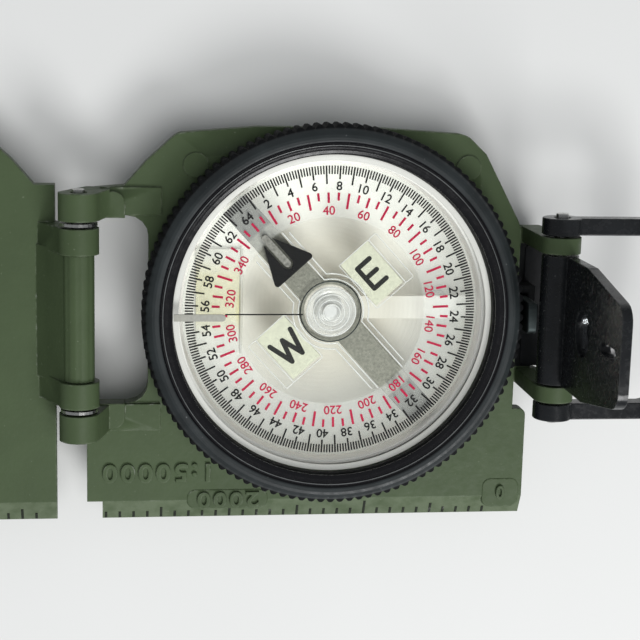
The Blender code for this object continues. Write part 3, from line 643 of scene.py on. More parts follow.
def dress(finish: Finish, *nodes: str) -> None:
    """Gives nodes of the frame their finish, and keeps their shapes.

    Args:
        finish: the finish.
        nodes: the frame's nodes.
    """
    for node in nodes:
        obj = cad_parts[node]
        for place in obj.material_slots:
            place.material = finish.material()
        if not obj.material_slots:
            obj.data.materials.append(finish.material())
        obj.visible_shadow = obj.visible_diffuse = not finish.clear
        log.info("%s keeps its shape, %s", node, finish.name)


def placed(name: str, data: bpy.types.ID) -> Piece:
    """Puts a new object in the scene.

    Args:
        name: the object's name.
        data: its mesh, curve, light or camera.

    Returns:
        The object.
    """
    obj = bpy.data.objects.new(name, data)
    bpy.context.scene.collection.objects.link(obj)
    return obj


def solid(name: str, bm: Draft, sharp: float = 35.0) -> Piece:
    """An object from a bmesh in millimetres, shaded smooth up to an angle.

    Args:
        name: the piece's name.
        bm: its mesh, which is freed.
        sharp: the angle, in degrees, past which an edge stays sharp.

    Returns:
        The object, in the scene.
    """
    bmesh.ops.recalc_face_normals(bm, faces=bm.faces)
    bmesh.ops.scale(bm, vec=(MM, MM, MM), verts=bm.verts)
    mesh = bpy.data.meshes.new(name)
    bm.to_mesh(mesh)
    bm.free()
    mesh.shade_smooth()
    mesh.set_sharp_from_angle(angle=math.radians(sharp))
    return placed(name, mesh)


def rounded(obj: Piece, width: float, segments: int = 2, angle: float = 30.0, hard: bool = False) -> Piece:
    """Rounds a piece's edges over with a modifier.

    Args:
        obj: the piece.
        width: the round's width in millimetres.
        segments: the steps of the round.
        angle: the angle, in degrees, past which an edge is rounded.
        hard: whether the faces beside a round keep their own normals.

    Returns:
        The same piece.
    """
    edge = obj.modifiers.new("rounds", "BEVEL")
    edge.width = width * MM
    edge.segments = segments
    edge.limit_method = "ANGLE"
    edge.angle_limit = math.radians(angle)
    edge.harden_normals = hard
    return obj


def softened(node: str, name: str, body: Body, finish: Finish,
             width: float = 0.0, segments: int = 3) -> Piece:
    """Shows a copy of a node's solid with every edge rounded over, in place of the node.

    Args:
        node: the frame's node.
        name: the new piece's name.
        body: the body it rides on.
        finish: its finish.
        width: the round's width in millimetres, or 0 where the finish alone eases the edges.
        segments: the steps of the round.

    Returns:
        The new piece.
    """
    bm = bmesh.new()
    bm.from_mesh(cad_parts[node].data)
    bmesh.ops.scale(bm, vec=(1 / MM,) * 3, verts=bm.verts)
    bmesh.ops.remove_doubles(bm, verts=bm.verts, dist=0.002)
    bmesh.ops.dissolve_limit(bm, angle_limit=math.radians(0.6), verts=bm.verts, edges=bm.edges)
    obj = solid(name, bm, SHARP)
    for attribute in ("custom_normal", "sharp_face"):
        if attribute in obj.data.attributes:
            obj.data.attributes.remove(obj.data.attributes[attribute])
    if width:
        rounded(obj, width, segments, SHARP, hard=True)
    return settle(obj, body, finish, [node])


def lathe(name: str, profile: Points, steps: int = 144) -> Piece:
    """A turned body about the dial's axis.

    Args:
        name: the piece's name.
        profile: its closed section as (radius, height) points in millimetres.
        steps: its sides.

    Returns:
        The object.
    """
    bm = bmesh.new()
    rings = []
    turns = [2 * math.pi * i / steps for i in range(steps)]
    for r, z in profile:
        spots = turns if r else turns[:1]
        rings.append([bm.verts.new((r * math.cos(t), r * math.sin(t), z)) for t in spots])
    for one, two in zip(rings, rings[1:] + rings[:1]):
        for i in range(steps):
            j = (i + 1) % steps
            corners = [one[i % len(one)], one[j % len(one)], two[j % len(two)], two[i % len(two)]]
            face = list(dict.fromkeys(corners))
            if len(face) > 2:
                bm.faces.new(face)
    return solid(name, bm, 40.0)


def slab(bm: Draft, outline: Points, low: float, high: float) -> list[bmesh.types.BMVert]:
    """Adds a straight-sided body to a bmesh.

    Args:
        bm: the bmesh, in millimetres.
        outline: the body's outline in the plane.
        low: its underside.
        high: its top.

    Returns:
        The body's vertices, with those of its underside first.
    """
    under = [bm.verts.new((x, y, low)) for x, y in outline]
    over = [bm.verts.new((x, y, high)) for x, y in outline]
    bm.faces.new(list(reversed(under)))
    bm.faces.new(over)
    for i in range(len(outline)):
        j = (i + 1) % len(outline)
        bm.faces.new((under[i], under[j], over[j], over[i]))
    return under + over


def arc(x: float, y: float, r: float, start: float, end: float, count: int) -> list[Point]:
    """Points along an arc, both ends included, with the angles in degrees."""
    turns = [math.radians(start + (end - start) * i / count) for i in range(count + 1)]
    return [(x + r * math.cos(t), y + r * math.sin(t)) for t in turns]


def ring(r: float) -> list[Point]:
    """A circle's points about the dial's axis, the first not repeated."""
    return arc(0, 0, r, 0, 352, 44)


def stroke(one: Point, two: Point, width: float) -> list[Point]:
    """The outline of a straight stroke with round ends."""
    lean = math.degrees(math.atan2(two[1] - one[1], two[0] - one[0]))
    return arc(*two, width / 2, lean - 90, lean + 90, 8) + arc(*one, width / 2, lean + 90, lean + 270, 8)


def box(x_low: float, y_low: float, x_high: float, y_high: float) -> list[Point]:
    """A rectangle's outline."""
    return [(x_low, y_low), (x_high, y_low), (x_high, y_high), (x_low, y_high)]


def round_box(x_low: float, y_low: float, x_high: float, y_high: float, r: float) -> list[Point]:
    """A rectangle's outline with round corners."""
    points = arc(x_high - r, y_high - r, r, 0, 90, 4) + arc(x_low + r, y_high - r, r, 90, 180, 4)
    return points + arc(x_low + r, y_low + r, r, 180, 270, 4) + arc(x_high - r, y_low + r, r, 270, 360, 4)


def mesh_of(curve: bpy.types.Curve) -> bpy.types.Mesh:
    """A curve's mesh, with the curve itself cleared away.

    Args:
        curve: the curve.

    Returns:
        The mesh, as a copy of its own.
    """
    holder = placed(curve.name, curve)
    mesh = holder.evaluated_get(bpy.context.evaluated_depsgraph_get()).to_mesh().copy()
    bpy.data.objects.remove(holder)
    bpy.data.curves.remove(curve)
    return mesh


def figures(bm: Draft, text: str, height: float, place: Matrix, low: float, high: float,
            bevel: float, space: float = 1.0, wide: float = 1.0) -> None:
    """Adds one centred number to a bmesh.

    Args:
        bm: the bmesh, in millimetres.
        text: the figures.
        height: a figure's height.
        place: where the number's middle goes, and which way up.
        low: its underside, before place.
        high: its top.
        bevel: the round of its edges, which also thickens its strokes.
        space: the gap between figures, as a share of the usual one.
        wide: how much wider than the plain face the figures are.
    """
    curve = bpy.data.curves.new("figures", "FONT")
    curve.body = text
    curve.size = 1.0
    curve.resolution_u = 4
    curve.space_character = space
    curve.extrude = 0.5
    curve.bevel_depth = bevel
    curve.bevel_resolution = 2
    mesh = mesh_of(curve)
    points = [v.co.copy() for v in mesh.vertices]
    xs, ys, zs = zip(*points)
    middle = Vector(((min(xs) + max(xs)) / 2, (min(ys) + max(ys)) / 2, 0))
    scale = height / (max(ys) - min(ys))
    rise = (high - low) / (max(zs) - min(zs))
    verts = []
    for point in points:
        shifted = (point - middle) * scale
        shifted.x *= wide
        shifted.z = low + (point.z - min(zs)) * rise
        verts.append(bm.verts.new(place @ shifted))
    for face in mesh.polygons:
        corners = [verts[i] for i in face.vertices]
        if len(set(corners)) > 2:
            bm.faces.new(corners)
    bpy.data.meshes.remove(mesh)


def wire(name: str, path: Sequence[Sequence[float]], r: float, closed: bool = False) -> Piece:
    """A round bar along a path, as a mesh.

    Args:
        name: the piece's name.
        path: its points in millimetres.
        r: its radius.
        closed: whether it runs back to its start.

    Returns:
        The object, in the scene.
    """
    curve = bpy.data.curves.new(name, "CURVE")
    curve.dimensions = "3D"
    curve.bevel_depth = r * MM
    curve.bevel_resolution = 2
    curve.use_fill_caps = not closed
    line = curve.splines.new("POLY")
    line.points.add(len(path) - 1)
    for point, place in zip(line.points, path):
        point.co = (*[c * MM for c in place], 1.0)
    line.use_cyclic_u = closed
    shape = mesh_of(curve)
    shape.name = name
    shape.shade_smooth()
    return placed(name, shape)


def merged(name: str, parts: Sequence[Piece]) -> Piece:
    """Joins several objects into one piece.

    Args:
        name: the piece's name.
        parts: the objects, which are removed.

    Returns:
        The piece.
    """
    bm = bmesh.new()
    for part in parts:
        bm.from_mesh(part.data)
        bpy.data.objects.remove(part)
    bmesh.ops.scale(bm, vec=(1 / MM,) * 3, verts=bm.verts)
    return solid(name, bm, 50.0)


def corners_of(node: str) -> tuple[Vector, Vector]:
    """A node's lowest and highest corners, in millimetres."""
    low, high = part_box(node)
    return low / MM, high / MM


# ---------------------------------------------------------------- sub-assemblies


@dataclass
class Ruler:
    """The graduated straight edge: a mark for each hundred metres, on one half of the map scale."""

    name: str
    body: Body
    first: int
    last: int
    width: float = 0.36
    short: float = 1.1
    middle: float = 1.8
    long: float = 2.4
    inset: float = 0.08
    edge_y: float = -31.2
    lip_z: float = 8.4
    slope: float = 1.6 / 3.0
    sunk: float = 0.2
    proud: float = 0.06

    def height(self, y: float) -> float:
        """The bevel's height at a place across it."""
        return self.lip_z + (y - self.edge_y) * self.slope

    def build(self) -> None:
        """Lays the marks on the bevel, painted dark as painted shade of engraved grooves."""
        bm = bmesh.new()
        for mark in range(self.first, self.last + 1):
            length = self.long if mark % 10 == 0 else self.middle if mark % 5 == 0 else self.short
            x = SCALE_ZERO - mark * SCALE_PITCH
            half = self.width / 2
            outline = box(x - half, self.edge_y + self.inset, x + half, self.edge_y + length)
            for vert in slab(bm, outline, -self.sunk, self.proud):
                vert.co.z += self.height(vert.co.y)
        settle(solid(f"{self.name}_marks", bm), self.body, OLIVE_GROOVE_SHADE)


@dataclass
class Casting:
    """The painted base, with its raised figures and the ruler's marks."""

    top: float = 10.0
    relief: float = 0.38
    pads: Sequence[Sequence[float]] = ((-20.3, -29.5, -8.5, -26.6), (23.6, -29.9, 29.1, -25.5))
    pad_rise: float = 0.1
    pad_depth: float = 1.6
    pad_flare: float = 1.04
    pad_corner: float = 1.2
    figure_sunk: float = 0.05
    figure_bevel: float = 0.03
    figure_space: float = 1.2
    # the outline and the heights of a black sheet laid as painted shade in the pocket
    pocket_box: Sequence[float] = (29.4, -9.2, 33.3, 9.2, 0.8)
    pocket_shade_floor: Point = (4.3, 6.15)
    ruler: Ruler = field(default_factory=lambda: Ruler("base_scale", Body.BASE, 1, 29))

    def pocket(self) -> None:
        """Lays a black floor in the pocket under the sight's hinge, a dark sheet that stands in as painted
        shade of the deep recess.
        """
        bm = bmesh.new()
        slab(bm, round_box(*self.pocket_box), *self.pocket_shade_floor)
        settle(rounded(solid("pocket_shade_floor", bm), 0.2), Body.BASE, BLACK)

    def numbers(self) -> None:
        """Raises the scale's name on the plate, and each number on its own pad, to be read upside down."""
        padded = self.top + self.pad_rise
        bm = bmesh.new()
        for x_low, y_low, x_high, y_high in self.pads:
            outline = round_box(x_low, y_low, x_high, y_high, self.pad_corner)
            verts = slab(bm, outline, self.top - self.pad_depth, padded)
            middle = Vector(((x_low + x_high) / 2, (y_low + y_high) / 2, 0))
            for vert in verts[: len(verts) // 2]:
                vert.co.xy = middle.xy + (vert.co.xy - middle.xy) * self.pad_flare
        settle(rounded(solid("number_pads", bm), 0.12), Body.BASE, OLIVE)
        bm = bmesh.new()
        for text, x, y, height, floor, wide in (
            ("1:50000", -24.7, -24.0, 2.9, self.top, 1.12),
            ("2000", -14.3, -28.1, 2.4, padded, 1.25),
            ("0", 26.3, -27.6, 2.2, padded, 0.9),
        ):
            place = Matrix.Translation((x, y, 0)) @ Matrix.Rotation(math.pi, 4, "Z")
            low, high = floor - self.figure_sunk, floor + self.relief
            figures(bm, text, height, place, low, high, self.figure_bevel, self.figure_space, wide)
        settle(solid("raised_figures", bm), Body.BASE, OLIVE)

    def build(self) -> None:
        """Makes the casting's shell and what is raised on it."""
        softened("base_casting", "base_shell", Body.BASE, OLIVE_CASTING)
        self.pocket()
        self.numbers()
        self.ruler.build()


@dataclass
class Bowl:
    """What the dial swings in: the cup, the pivot, the light strip and the lock."""

    wall: float = 0.3
    rim: float = 0.1
    foot: Points = ((1.2, 0.0), (0.35, 0.35), (0.0, 1.2))  # outer corner: in from the wall, up
    heel: Points = ((0.0, 1.2), (0.3, 0.45), (1.0, 0.0))  # inner corner, the same way
    lip_rim: Points = ((0.4, 0.0), (0.34, 0.12), (0.08, 0.16), (0.0, 0.26))  # out, down
    lip_overhang: float = 0.05
    lip_inset: float = 0.45
    clearance: float = 0.12
    strip_edge: float = 0.3

    def cup(self) -> None:
        """Turns the cup's liner, and the lip that fills the room between dial and glass."""
        low, high = corners_of("damping_bowl")
        r, inside, floor = high.x, high.x - self.wall, low.z + self.wall
        profile = [(0, low.z), *((r - inward, low.z + up) for inward, up in self.foot)]
        profile += [(r, high.z - self.rim), (r - self.rim, high.z), (inside, high.z)]
        profile += [*((inside - inward, floor + up) for inward, up in self.heel), (0, floor)]
        settle(lathe("bowl_liner", profile), Body.BASE, BOWL, ["damping_bowl"])
        bore, outer = inside - self.lip_overhang, corners_of("snap_ring")[1].x - self.lip_inset
        bottom = corners_of("dial_disc")[1].z + self.clearance
        top = corners_of("lower_glass")[0].z - self.clearance
        lip = [(bore, bottom), (outer, bottom), (outer, top)]
        lip += [(bore + out, top - down) for out, down in self.lip_rim]
        settle(lathe("bowl_lip", lip), Body.BASE, BOWL)

    def build(self) -> None:
        """Makes the cup and dresses what stands in it."""
        self.cup()
        dress(STEEL, "pivot_post", "pivot_needle", "lever_fulcrum")
        softened("lock_lever", "lever_strip", Body.LEVER, BRIGHT, 0.12, 2)
        softened("bowl_light", "light_strip", Body.BASE, GLOW_STRIP, 0.1, 2)
        low, high = corners_of("bowl_light")
        x = high.x + self.strip_edge
        settle(wire("light_strip_edge", [(x, low.y, high.z), (x, high.y, high.z)], 0.2), Body.BASE, RING)
        softened("lock_plunger", "plunger_tab", Body.PLUNGER, DARK_STEEL, 0.2)


@dataclass
class Glazing:
    """The fixed glass over the dial, its seal and ring, and the index line printed on it."""

    line_from: float = 4.3
    line_to: float = 15.3
    line_width: float = 0.2
    line_thick: float = 0.03
    ring_width: float = 0.8
    ring_outer: float = 0.15
    ring_bevel: float = 0.08
    ring_drop: float = 0.12

    def build(self) -> None:
        """Makes the glass's ring and line, and dresses the rest."""
        dress(GLASS, "lower_glass")
        dress(SEAL, "glass_gasket")
        low, high = corners_of("snap_ring")
        outer, inner = high.x, high.x - self.ring_width
        profile = [(inner + self.ring_bevel, low.z), (outer, low.z), (outer, high.z)]
        profile += [(inner + self.ring_outer, high.z), (inner, high.z - self.ring_drop)]
        profile += [(inner, low.z + self.ring_bevel)]
        settle(lathe("glass_ring", profile), Body.BASE, RING, ["snap_ring"])
        dress(STEEL, "bezel_keeper_wire", "bezel_click_spring")
        half, top = self.line_width / 2, corners_of("lower_glass")[1].z
        bm = bmesh.new()
        slab(bm, box(-self.line_to, -half, -self.line_from, half), top, top + self.line_thick)
        settle(solid("index_line", bm), Body.BASE, INK_BLACK)


@dataclass
class Bezel:
    """The knurled turning ring, its glass and its luminous line."""

    teeth: int = 120
    tooth_points: int = 8
    depth: float = 0.5
    chamfer: float = 0.8
    seat_r: float = 24.5
    land_r: float = 24.6
    bead_r: float = 24.15
    bead: float = 0.075
    groove: Points = ((0.12, 0.32), (0.07, 0.22), (-0.07, 0.22), (-0.14, 0.34))  # off the bead, and down
    lip_r: float = 22.9
    lip_drop: float = 0.8
    seal: float = 0.3

    def cut(self, turn: float) -> float:
        """How deep the knurl is at an angle: none on a crest, with wide crests and narrow roots."""
        wave = 0.5 - 0.5 * math.cos(turn * self.teeth)
        return self.depth * wave**2.2

    def section(self, tip: float, low: float, top: float) -> list[Triple]:
        """The ring's section.

        Args:
            tip: the radius at the knurl's crests.
            low: the ring's underside.
            top: its top.

        Returns:
            Points of radius, height and the share of the knurl's cut that each takes.
        """
        root = tip - self.depth
        flank = root - 0.15
        face = flank - self.chamfer
        knurl = [(self.seat_r, low, 0.0), (flank, low, 0.0), (root, low + 0.06, 0.2), (tip, low + 0.3, 1.0)]
        knurl += [(tip, top - 1.0, 1.0), (tip - 0.08, top - 0.86, 0.9), (root, top - 0.68, 0.15)]
        crown = [(flank, 0.55), (face + 0.12, 0.06), (face - 0.05, 0.0)]
        land = [(self.land_r + 0.18, 0.0), (self.land_r, 0.08), (self.land_r - 0.15, 0.3)]
        groove = [(self.bead_r + out, drop) for out, drop in self.groove]
        lip = [(23.5, 0.4), (self.lip_r + 0.08, 0.52), (self.lip_r, 0.6), (self.lip_r, self.lip_drop)]
        inward = crown + land + groove + lip + [(self.seat_r, self.lip_drop)]
        return knurl + [(r, top - drop, 0.0) for r, drop in inward]

    def grip(self) -> None:
        """Sweeps the ring's section round, cutting the knurl as it goes, and lays its bead."""
        low, high = corners_of("bezel_ring")
        count = self.teeth * self.tooth_points
        bm = bmesh.new()
        turns = [2 * math.pi * i / count for i in range(count)]
        rings = []
        for r, z, share in self.section(high.x, low.z, high.z):
            radii = [r - share * self.cut(t) for t in turns]
            rings.append([bm.verts.new((q * math.cos(t), q * math.sin(t), z)) for q, t in zip(radii, turns)])
        for one, two in zip(rings, rings[1:] + rings[:1]):
            for i in range(count):
                j = (i + 1) % count
                bm.faces.new((one[i], one[j], two[j], two[i]))
        settle(solid("bezel_grip", bm, 40.0), Body.BEZEL, BLACK_BEZEL, ["bezel_ring"])
        # the bead is coloured lighter than the ring, as a painted highlight
        bead = arc(self.bead_r, high.z - 0.2, self.bead, 0, 315, 7)
        settle(lathe("bezel_bead", bead), Body.BEZEL, BEAD_HIGHLIGHT)

    def glazing(self) -> None:
        """Seats the glass on its seal and lays its luminous line."""
        dress(GLASS, "bezel_glass")
        low, high = corners_of("bezel_glass")
        # the black seal under the glass also stands as painted shade over the rim that would show below the
        # lip
        top, bottom = low.z - 0.05, low.z - 0.05 - self.seal
        seal = [(self.lip_r - 0.15, bottom), (high.x, bottom), (high.x, top), (self.lip_r - 0.05, top)]
        settle(lathe("bezel_glass_seal", seal), Body.BEZEL, SEAL)
        low, high = corners_of("bezel_line")
        half = (high.y - low.y) / 2
        outline = [(low.x, -half), (high.x - half, -half), *arc(high.x - half, 0, half, -60, 60, 6)]
        outline += [(high.x - half, half), (low.x, half)]
        bm = bmesh.new()
        slab(bm, outline, low.z, high.z)
        settle(rounded(solid("bezel_mark", bm), 0.05), Body.BEZEL, GLOW_GREY, ["bezel_line"])

    def build(self) -> None:
        """Makes the ring, then what it holds."""
        self.grip()
        self.glazing()


@dataclass(frozen=True)
class Circle:
    """One printed circle of the dial: its marks and its numbers, in its own unit."""

    name: str
    ink: Ink
    full: int  # the units in a turn
    step: int
    medium: int  # a longer mark at each of these
    number: int  # and a number at each of these
    unit: int  # what a number is divided by
    last: int  # the last one that is numbered
    inner: Triple  # how far in a short, a medium and a numbered mark start
    outer: float
    widths: Point
    figures_r: float
    bevel: float  # what the numbers' strokes are thickened by, before scaling


CIRCLES = (
    Circle("mil", INK_BLACK, full=6400, step=20, medium=100, number=200, unit=100, last=6400,
           inner=(19.7, 18.3, 19.0), outer=20.9, widths=(0.21, 0.24), figures_r=18.05, bevel=0.018),
    Circle("degree", INK_RED, full=360, step=5, medium=10, number=20, unit=1, last=340,
           inner=(15.95, 14.85, 15.6), outer=17.1, widths=(0.34, 0.34), figures_r=14.55, bevel=0.014),
)


@dataclass
class DialCard:
    """The floating card: prints, moulded ribs, hub, letters, arrow and magnet."""

    north: float = 42.6  # degrees anticlockwise from +Y
    print_thick: float = 0.02
    figure: float = 1.3
    letter: float = 3.8
    letter_stroke: float = 0.7
    letter_r: float = 8.0
    letter_halves: Point = (1.15, 1.95)  # E's and W's half widths
    short_arm: float = 0.8  # E's middle arm, as a share of the others
    peak: float = 0.75  # W's middle peak, as a share of its height
    stroke_step: float = 0.004  # each stroke stands over the one before, so no two faces coincide
    bar_half: float = 2.1
    middle_r: float = 4.5
    bar_ribs: Points = ((0.22, 13.2), (1.0, 12.6))  # off the bar, and how far out
    pocket_ribs: Points = ((5.2, 10.8), (10.8, 12.2))
    pocket_half: float = 4.2
    rib_r: Point = (0.11, 0.07)  # beside the bar, and round a pocket
    ring_r: float = 0.09
    pocket_corner: float = 0.25
    hub_foot: Point = (3.3, 3.7)  # its radius under the card and on it
    hub_lift: float = 0.4
    hub_flare: float = 0.2
    hub_lean: float = 0.12
    hub_crown: Points = ((1.05, 0.05), (0.8, 0.0), (0.0, 0.0))  # radius, and down from the top
    hub_steps: Sequence[Triple] = (  # radius, and the two shares of the rise that it joins
        (3.7, 0.0, 0.25),
        (3.25, 0.3, 0.42),
        (2.75, 0.3, 0.5),
        (2.3, 0.62, 0.78),
        (1.85, 0.55, 0.8),
        (1.45, 0.8, 0.98),
    )
    hub_rings: Points = ((3.5, 0.42), (2.6, 0.72), (1.85, 0.85), (1.2, 0.97))

    def __post_init__(self) -> None:
        """Reads the card's height off the frame."""
        self.top = corners_of("dial_disc")[1].z
        self.turn = Matrix.Rotation(math.radians(self.north), 4, "Z")

    def spot(self, value: float, circle: Circle, r: float) -> Matrix:
        """A place on the card at a reading of one circle, with its up direction outwards."""
        lean = -2 * math.pi * value / circle.full
        return self.turn @ Matrix.Rotation(lean, 4, "Z") @ Matrix.Translation((0, r, 0))

    def marks(self, circle: Circle) -> None:
        """Prints a circle's marks.

        Args:
            circle: the circle.
        """
        short, medium, numbered = circle.inner
        thin, thick = circle.widths
        bm = bmesh.new()
        for value in range(0, circle.full, circle.step):
            inner = short if value % circle.medium else medium if value % circle.number else numbered
            half = (thin if value % circle.medium else thick) / 2
            outline, place = box(-half, inner, half, circle.outer), self.spot(value, circle, 0)
            for vert in slab(bm, outline, self.top, self.top + self.print_thick):
                vert.co = place @ vert.co
        settle(solid(f"{circle.name}_marks", bm), Body.DIAL, circle.ink)

    def numbers(self, circle: Circle) -> None:
        """Prints a circle's numbers.

        Args:
            circle: the circle.
        """
        bm = bmesh.new()
        for value in range(circle.number, circle.last + 1, circle.number):
            place = self.spot(value, circle, circle.figures_r)
            top = self.top + self.print_thick
            figures(bm, str(value // circle.unit), self.figure, place, self.top, top, circle.bevel)
        settle(solid(f"{circle.name}_figures", bm), Body.DIAL, circle.ink)

    def letters(self) -> None:
        """Draws the two letters in round-ended strokes on their plates."""
        tall, floor = self.letter / 2, corners_of("east_plate")[1].z
        half, wide = self.letter_halves
        east = [((-half, -tall), (-half, tall)), ((-half, tall), (half, tall))]
        east += [((-half, 0), (half * self.short_arm, 0)), ((-half, -tall), (half, -tall))]
        peak = (0, tall * self.peak)
        west = [((-wide, tall), (-wide / 2, -tall)), ((-wide / 2, -tall), peak)]
        west += [(peak, (wide / 2, -tall)), ((wide / 2, -tall), (wide, tall))]
        for name, side, strokes in (("east_letter", 1, east), ("west_letter", -1, west)):
            bm = bmesh.new()
            place = self.turn @ Matrix.Translation((side * self.letter_r, 0, 0))
            for level, ends in enumerate(strokes):
                top = floor + 2 * self.print_thick + self.stroke_step * level
                for vert in slab(bm, stroke(*ends, self.letter_stroke), floor, top):
                    vert.co = place @ vert.co
            settle(solid(name, bm), Body.DIAL, INK_BLACK)

    def beside_bar(self, side: int, offset: float, reach: float) -> list[Vector]:
        """A line along the magnet and round the middle.

        Args:
            side: 1 or -1, for the two sides.
            offset: how far it runs off the magnet and the middle.
            reach: how far out it starts and ends.

        Returns:
            The line's points.
        """
        half, r = self.bar_half + offset, self.middle_r + offset
        start = math.degrees(math.acos(half / r))
        points = [(half, reach), *arc(0, 0, r, start, -start, 14), (half, -reach)]
        return [self.turn @ Vector((side * x, y, self.top)) for x, y in points]

    def ribs(self) -> None:
        """Moulds the ribs beside the magnet and round the letter plates, and lays a dark ring round the
        middle as a painted shadow line.
        """
        rods = []
        for side in (1, -1):
            for offset, reach in self.bar_ribs:
                rods.append(wire(f"rib_{side}_{offset}", self.beside_bar(side, offset, reach), self.rib_r[0]))
            for x_low, x_high in self.pocket_ribs:
                outline = round_box(x_low, -self.pocket_half, x_high, self.pocket_half, self.pocket_corner)
                path = [self.turn @ Vector((side * x, y, self.top)) for x, y in outline]
                rods.append(wire(f"pocket_{side}_{x_low}", path, self.rib_r[1], closed=True))
        # a dark ring round the middle, as a painted shadow line
        path = [(x, y, self.top) for x, y in ring(self.middle_r - 0.1)]
        settle(wire("middle_shade_ring", path, self.ring_r, closed=True), Body.DIAL, DARK_STEEL)
        # the ribs are whitened, as painted highlight
        settle(merged("moulded_ribs_set", rods), Body.DIAL, RIB_HIGHLIGHT)

    def hub(self) -> None:
        """Turns the clear hub, which is stepped in rings up to its domed middle."""
        low, high = corners_of("dial_hub")
        base, top = self.top, high.z
        rise = top - base
        inner, outer = self.hub_foot
        bottom = low.z + self.hub_lift
        profile = [(0, bottom), (inner, bottom), (inner, base - self.hub_flare), (outer, base)]
        for r, foot, head in self.hub_steps:
            profile += [(r, base + foot * rise), (r - self.hub_lean, base + head * rise)]
        profile += [(r, top - down) for r, down in self.hub_crown]
        settle(lathe("stepped_hub", profile, 96), Body.DIAL, HUB, ["dial_hub"])
        # the hub's rings are whitened, as painted highlight
        rods = []
        for r, share in self.hub_rings:
            path = [(x, y, base + share * rise) for x, y in ring(r)]
            rods.append(wire(f"hub_ring_{r}", path, self.ring_r, closed=True))
        settle(merged("hub_rings", rods), Body.DIAL, RIB_HIGHLIGHT)

    def build(self) -> None:
        """Makes every piece of the card."""
        dress(CARD, "dial_disc")
        softened("magnet_bar", "magnet_face_bar", Body.DIAL, MAGNET, 0.08, 2)
        dress(INK_BLACK, "north_arrow")
        dress(GLOW_VIAL, "north_vial")
        dress(SAPPHIRE, "dial_jewel")
        for side in ("east", "west"):
            softened(f"{side}_plate", f"{side}_letter_plate", Body.DIAL, GLOW, 0.08, 2)
        for part in (self.marks, self.numbers):
            for circle in CIRCLES:
                part(circle)
        self.letters()
        self.ribs()
        self.hub()


@dataclass
class Cover:
    """The hinged cover with its sighting wire, vials and hinge pins."""

    axis: Point = (-35.6, 15.5)  # the hinge's x and z
    barrel_r: float = 2.15
    barrel_half: float = 8.8
    groove: float = 0.12
    grooves: int = 8
    sides: int = 48
    scale_first: int = 34
    scale_margin: float = 4.2

    def barrel(self) -> None:
        """Turns the grooved barrel that joins the cover's two knuckles."""
        x, z = self.axis
        bm = bmesh.new()
        section = []
        for i in range(self.sides):
            r = self.barrel_r - self.groove * (i % (self.sides // self.grooves) == 0)
            turn = 2 * math.pi * i / self.sides
            section.append((x + r * math.cos(turn), z + r * math.sin(turn)))
        for vert in slab(bm, section, -self.barrel_half, self.barrel_half):
            vert.co = Vector((vert.co.x, vert.co.z, vert.co.y))
        settle(solid("cover_barrel", bm, 60.0), Body.COVER, OLIVE)

    def build(self) -> None:
        """Makes the cover's shell and dresses its fittings."""
        softened("cover_plate", "cover_shell", Body.COVER, OLIVE_COVER)
        self.barrel()
        dress(STEEL, "sighting_wire")
        dress(GLOW, "cover_vial_far", "cover_vial_near")
        for side in ("upper", "lower"):
            softened(f"cover_pin_{side}", f"hinge_pin_{side}", Body.BASE, STEEL, 0.2)
            dress(STEEL, f"hinge_washer_{side}")
        far_x = corners_of("cover_plate")[0].x + self.scale_margin
        last = int((SCALE_ZERO - far_x) // SCALE_PITCH)
        Ruler("cover_scale", Body.COVER, self.scale_first, last).build()


@dataclass
class RearSight:
    """The folding sight with its lens."""

    round: float = 0.25

    def build(self) -> None:
        """Makes the bracket and dresses the lens."""
        softened("sight_bracket", "sight_plate", Body.SIGHT, BLACK_GLOSS, self.round)
        dress(LENS, "eye_lens")
        softened("lens_keeper", "lens_ring", Body.SIGHT, BLACK, 0.1, 2)
        softened("sight_pin", "sight_hinge_pin", Body.BASE, STEEL, 0.2)


@dataclass
class ThumbLoop:
    """The wire-like loop for the thumb."""

    round: float = 0.7

    def build(self) -> None:
        """Makes the loop with well rounded edges."""
        softened("thumb_loop", "thumb_loop_bar", Body.LOOP, BLACK_GLOSS, self.round, 4)


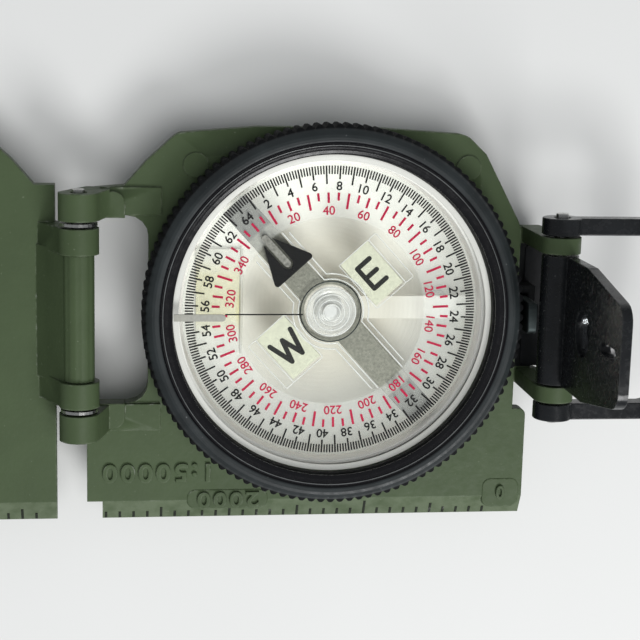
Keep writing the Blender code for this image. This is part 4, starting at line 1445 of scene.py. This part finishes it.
@dataclass
class Studio:
    """The floor, the soft light and the camera."""

    floor_tone: Colour = (0.68, 0.685, 0.675)
    floor_half: float = 1500.0
    floor_thick: float = 5.0
    sky: tuple[float, float, float, float] = (0.93, 0.96, 1.0, 1.0)
    sky_strength: float = 0.31
    eye: Triple = (-30.88, 40.91, 224.39)
    turn: Triple = (-11.248, -6.843, 1.301)
    lens: float = 86.2
    shift: Point = (0.03, 0.0)

    def floor(self) -> None:
        """Lays a plain pale floor under the base."""
        bm = bmesh.new()
        half = self.floor_half
        slab(bm, box(-half, -half, half, half), -self.floor_thick, 0.0)
        obj = solid("studio_floor", bm)
        material = bpy.data.materials.new("pale_floor")
        bench = Bench(material)
        tone = bench.blend(bench.cloud(20, 2), shade(self.floor_tone, 0.98), self.floor_tone)
        bench.tree.links.new(bench.principled(tone, 0.7), bench.out.inputs["Surface"])
        obj.data.materials.append(material)

    def light(self, name: str, place: Triple, size: float, power: float, mirrored: bool = True) -> None:
        """Adds one soft area light, aimed at the dial.

        Args:
            name: the light's name.
            place: where it hangs, in millimetres.
            size: its diameter in millimetres.
            power: its power in watts.
            mirrored: whether it shows in gloss.
        """
        data = bpy.data.lights.new(name, "AREA")
        data.shape, data.size, data.energy = "DISK", size * MM, power
        obj = placed(name, data)
        obj.location = Vector(place) * MM
        obj.rotation_euler = (-Vector(place)).to_track_quat("-Z", "Y").to_euler()
        obj.visible_glossy = mirrored

    def build(self) -> None:
        """Sets up the floor, the lights, the surroundings and the camera."""
        self.floor()
        self.light("key", (190, -400, 520), size=260, power=2.5)
        self.light("top", (40, -100, 620), size=460, power=2.3, mirrored=False)
        world = bpy.data.worlds.new("studio")
        world.use_nodes = True
        world.node_tree.nodes["Background"].inputs["Color"].default_value = self.sky
        world.node_tree.nodes["Background"].inputs["Strength"].default_value = self.sky_strength
        scene = bpy.context.scene
        scene.world = world
        scene.view_settings.view_transform = "Standard"
        data = bpy.data.cameras.new("camera")
        data.lens, data.shift_x, data.shift_y = self.lens, *self.shift
        data.clip_start = 5 * MM
        camera = placed("camera", data)
        camera.location = Vector(self.eye) * MM
        camera.rotation_euler = [math.radians(a) for a in self.turn]
        scene.camera = camera


def main() -> None:
    """Builds every sub-assembly in order."""
    logging.basicConfig(level=logging.INFO, format="%(name)s: %(message)s")
    Studio().build()
    for assembly in (Casting(), Bowl(), Glazing(), Bezel(), DialCard(), Cover(), RearSight(), ThumbLoop()):
        log.info("building %s", type(assembly).__name__)
        assembly.build()


if __name__ == "__main__":
    main()
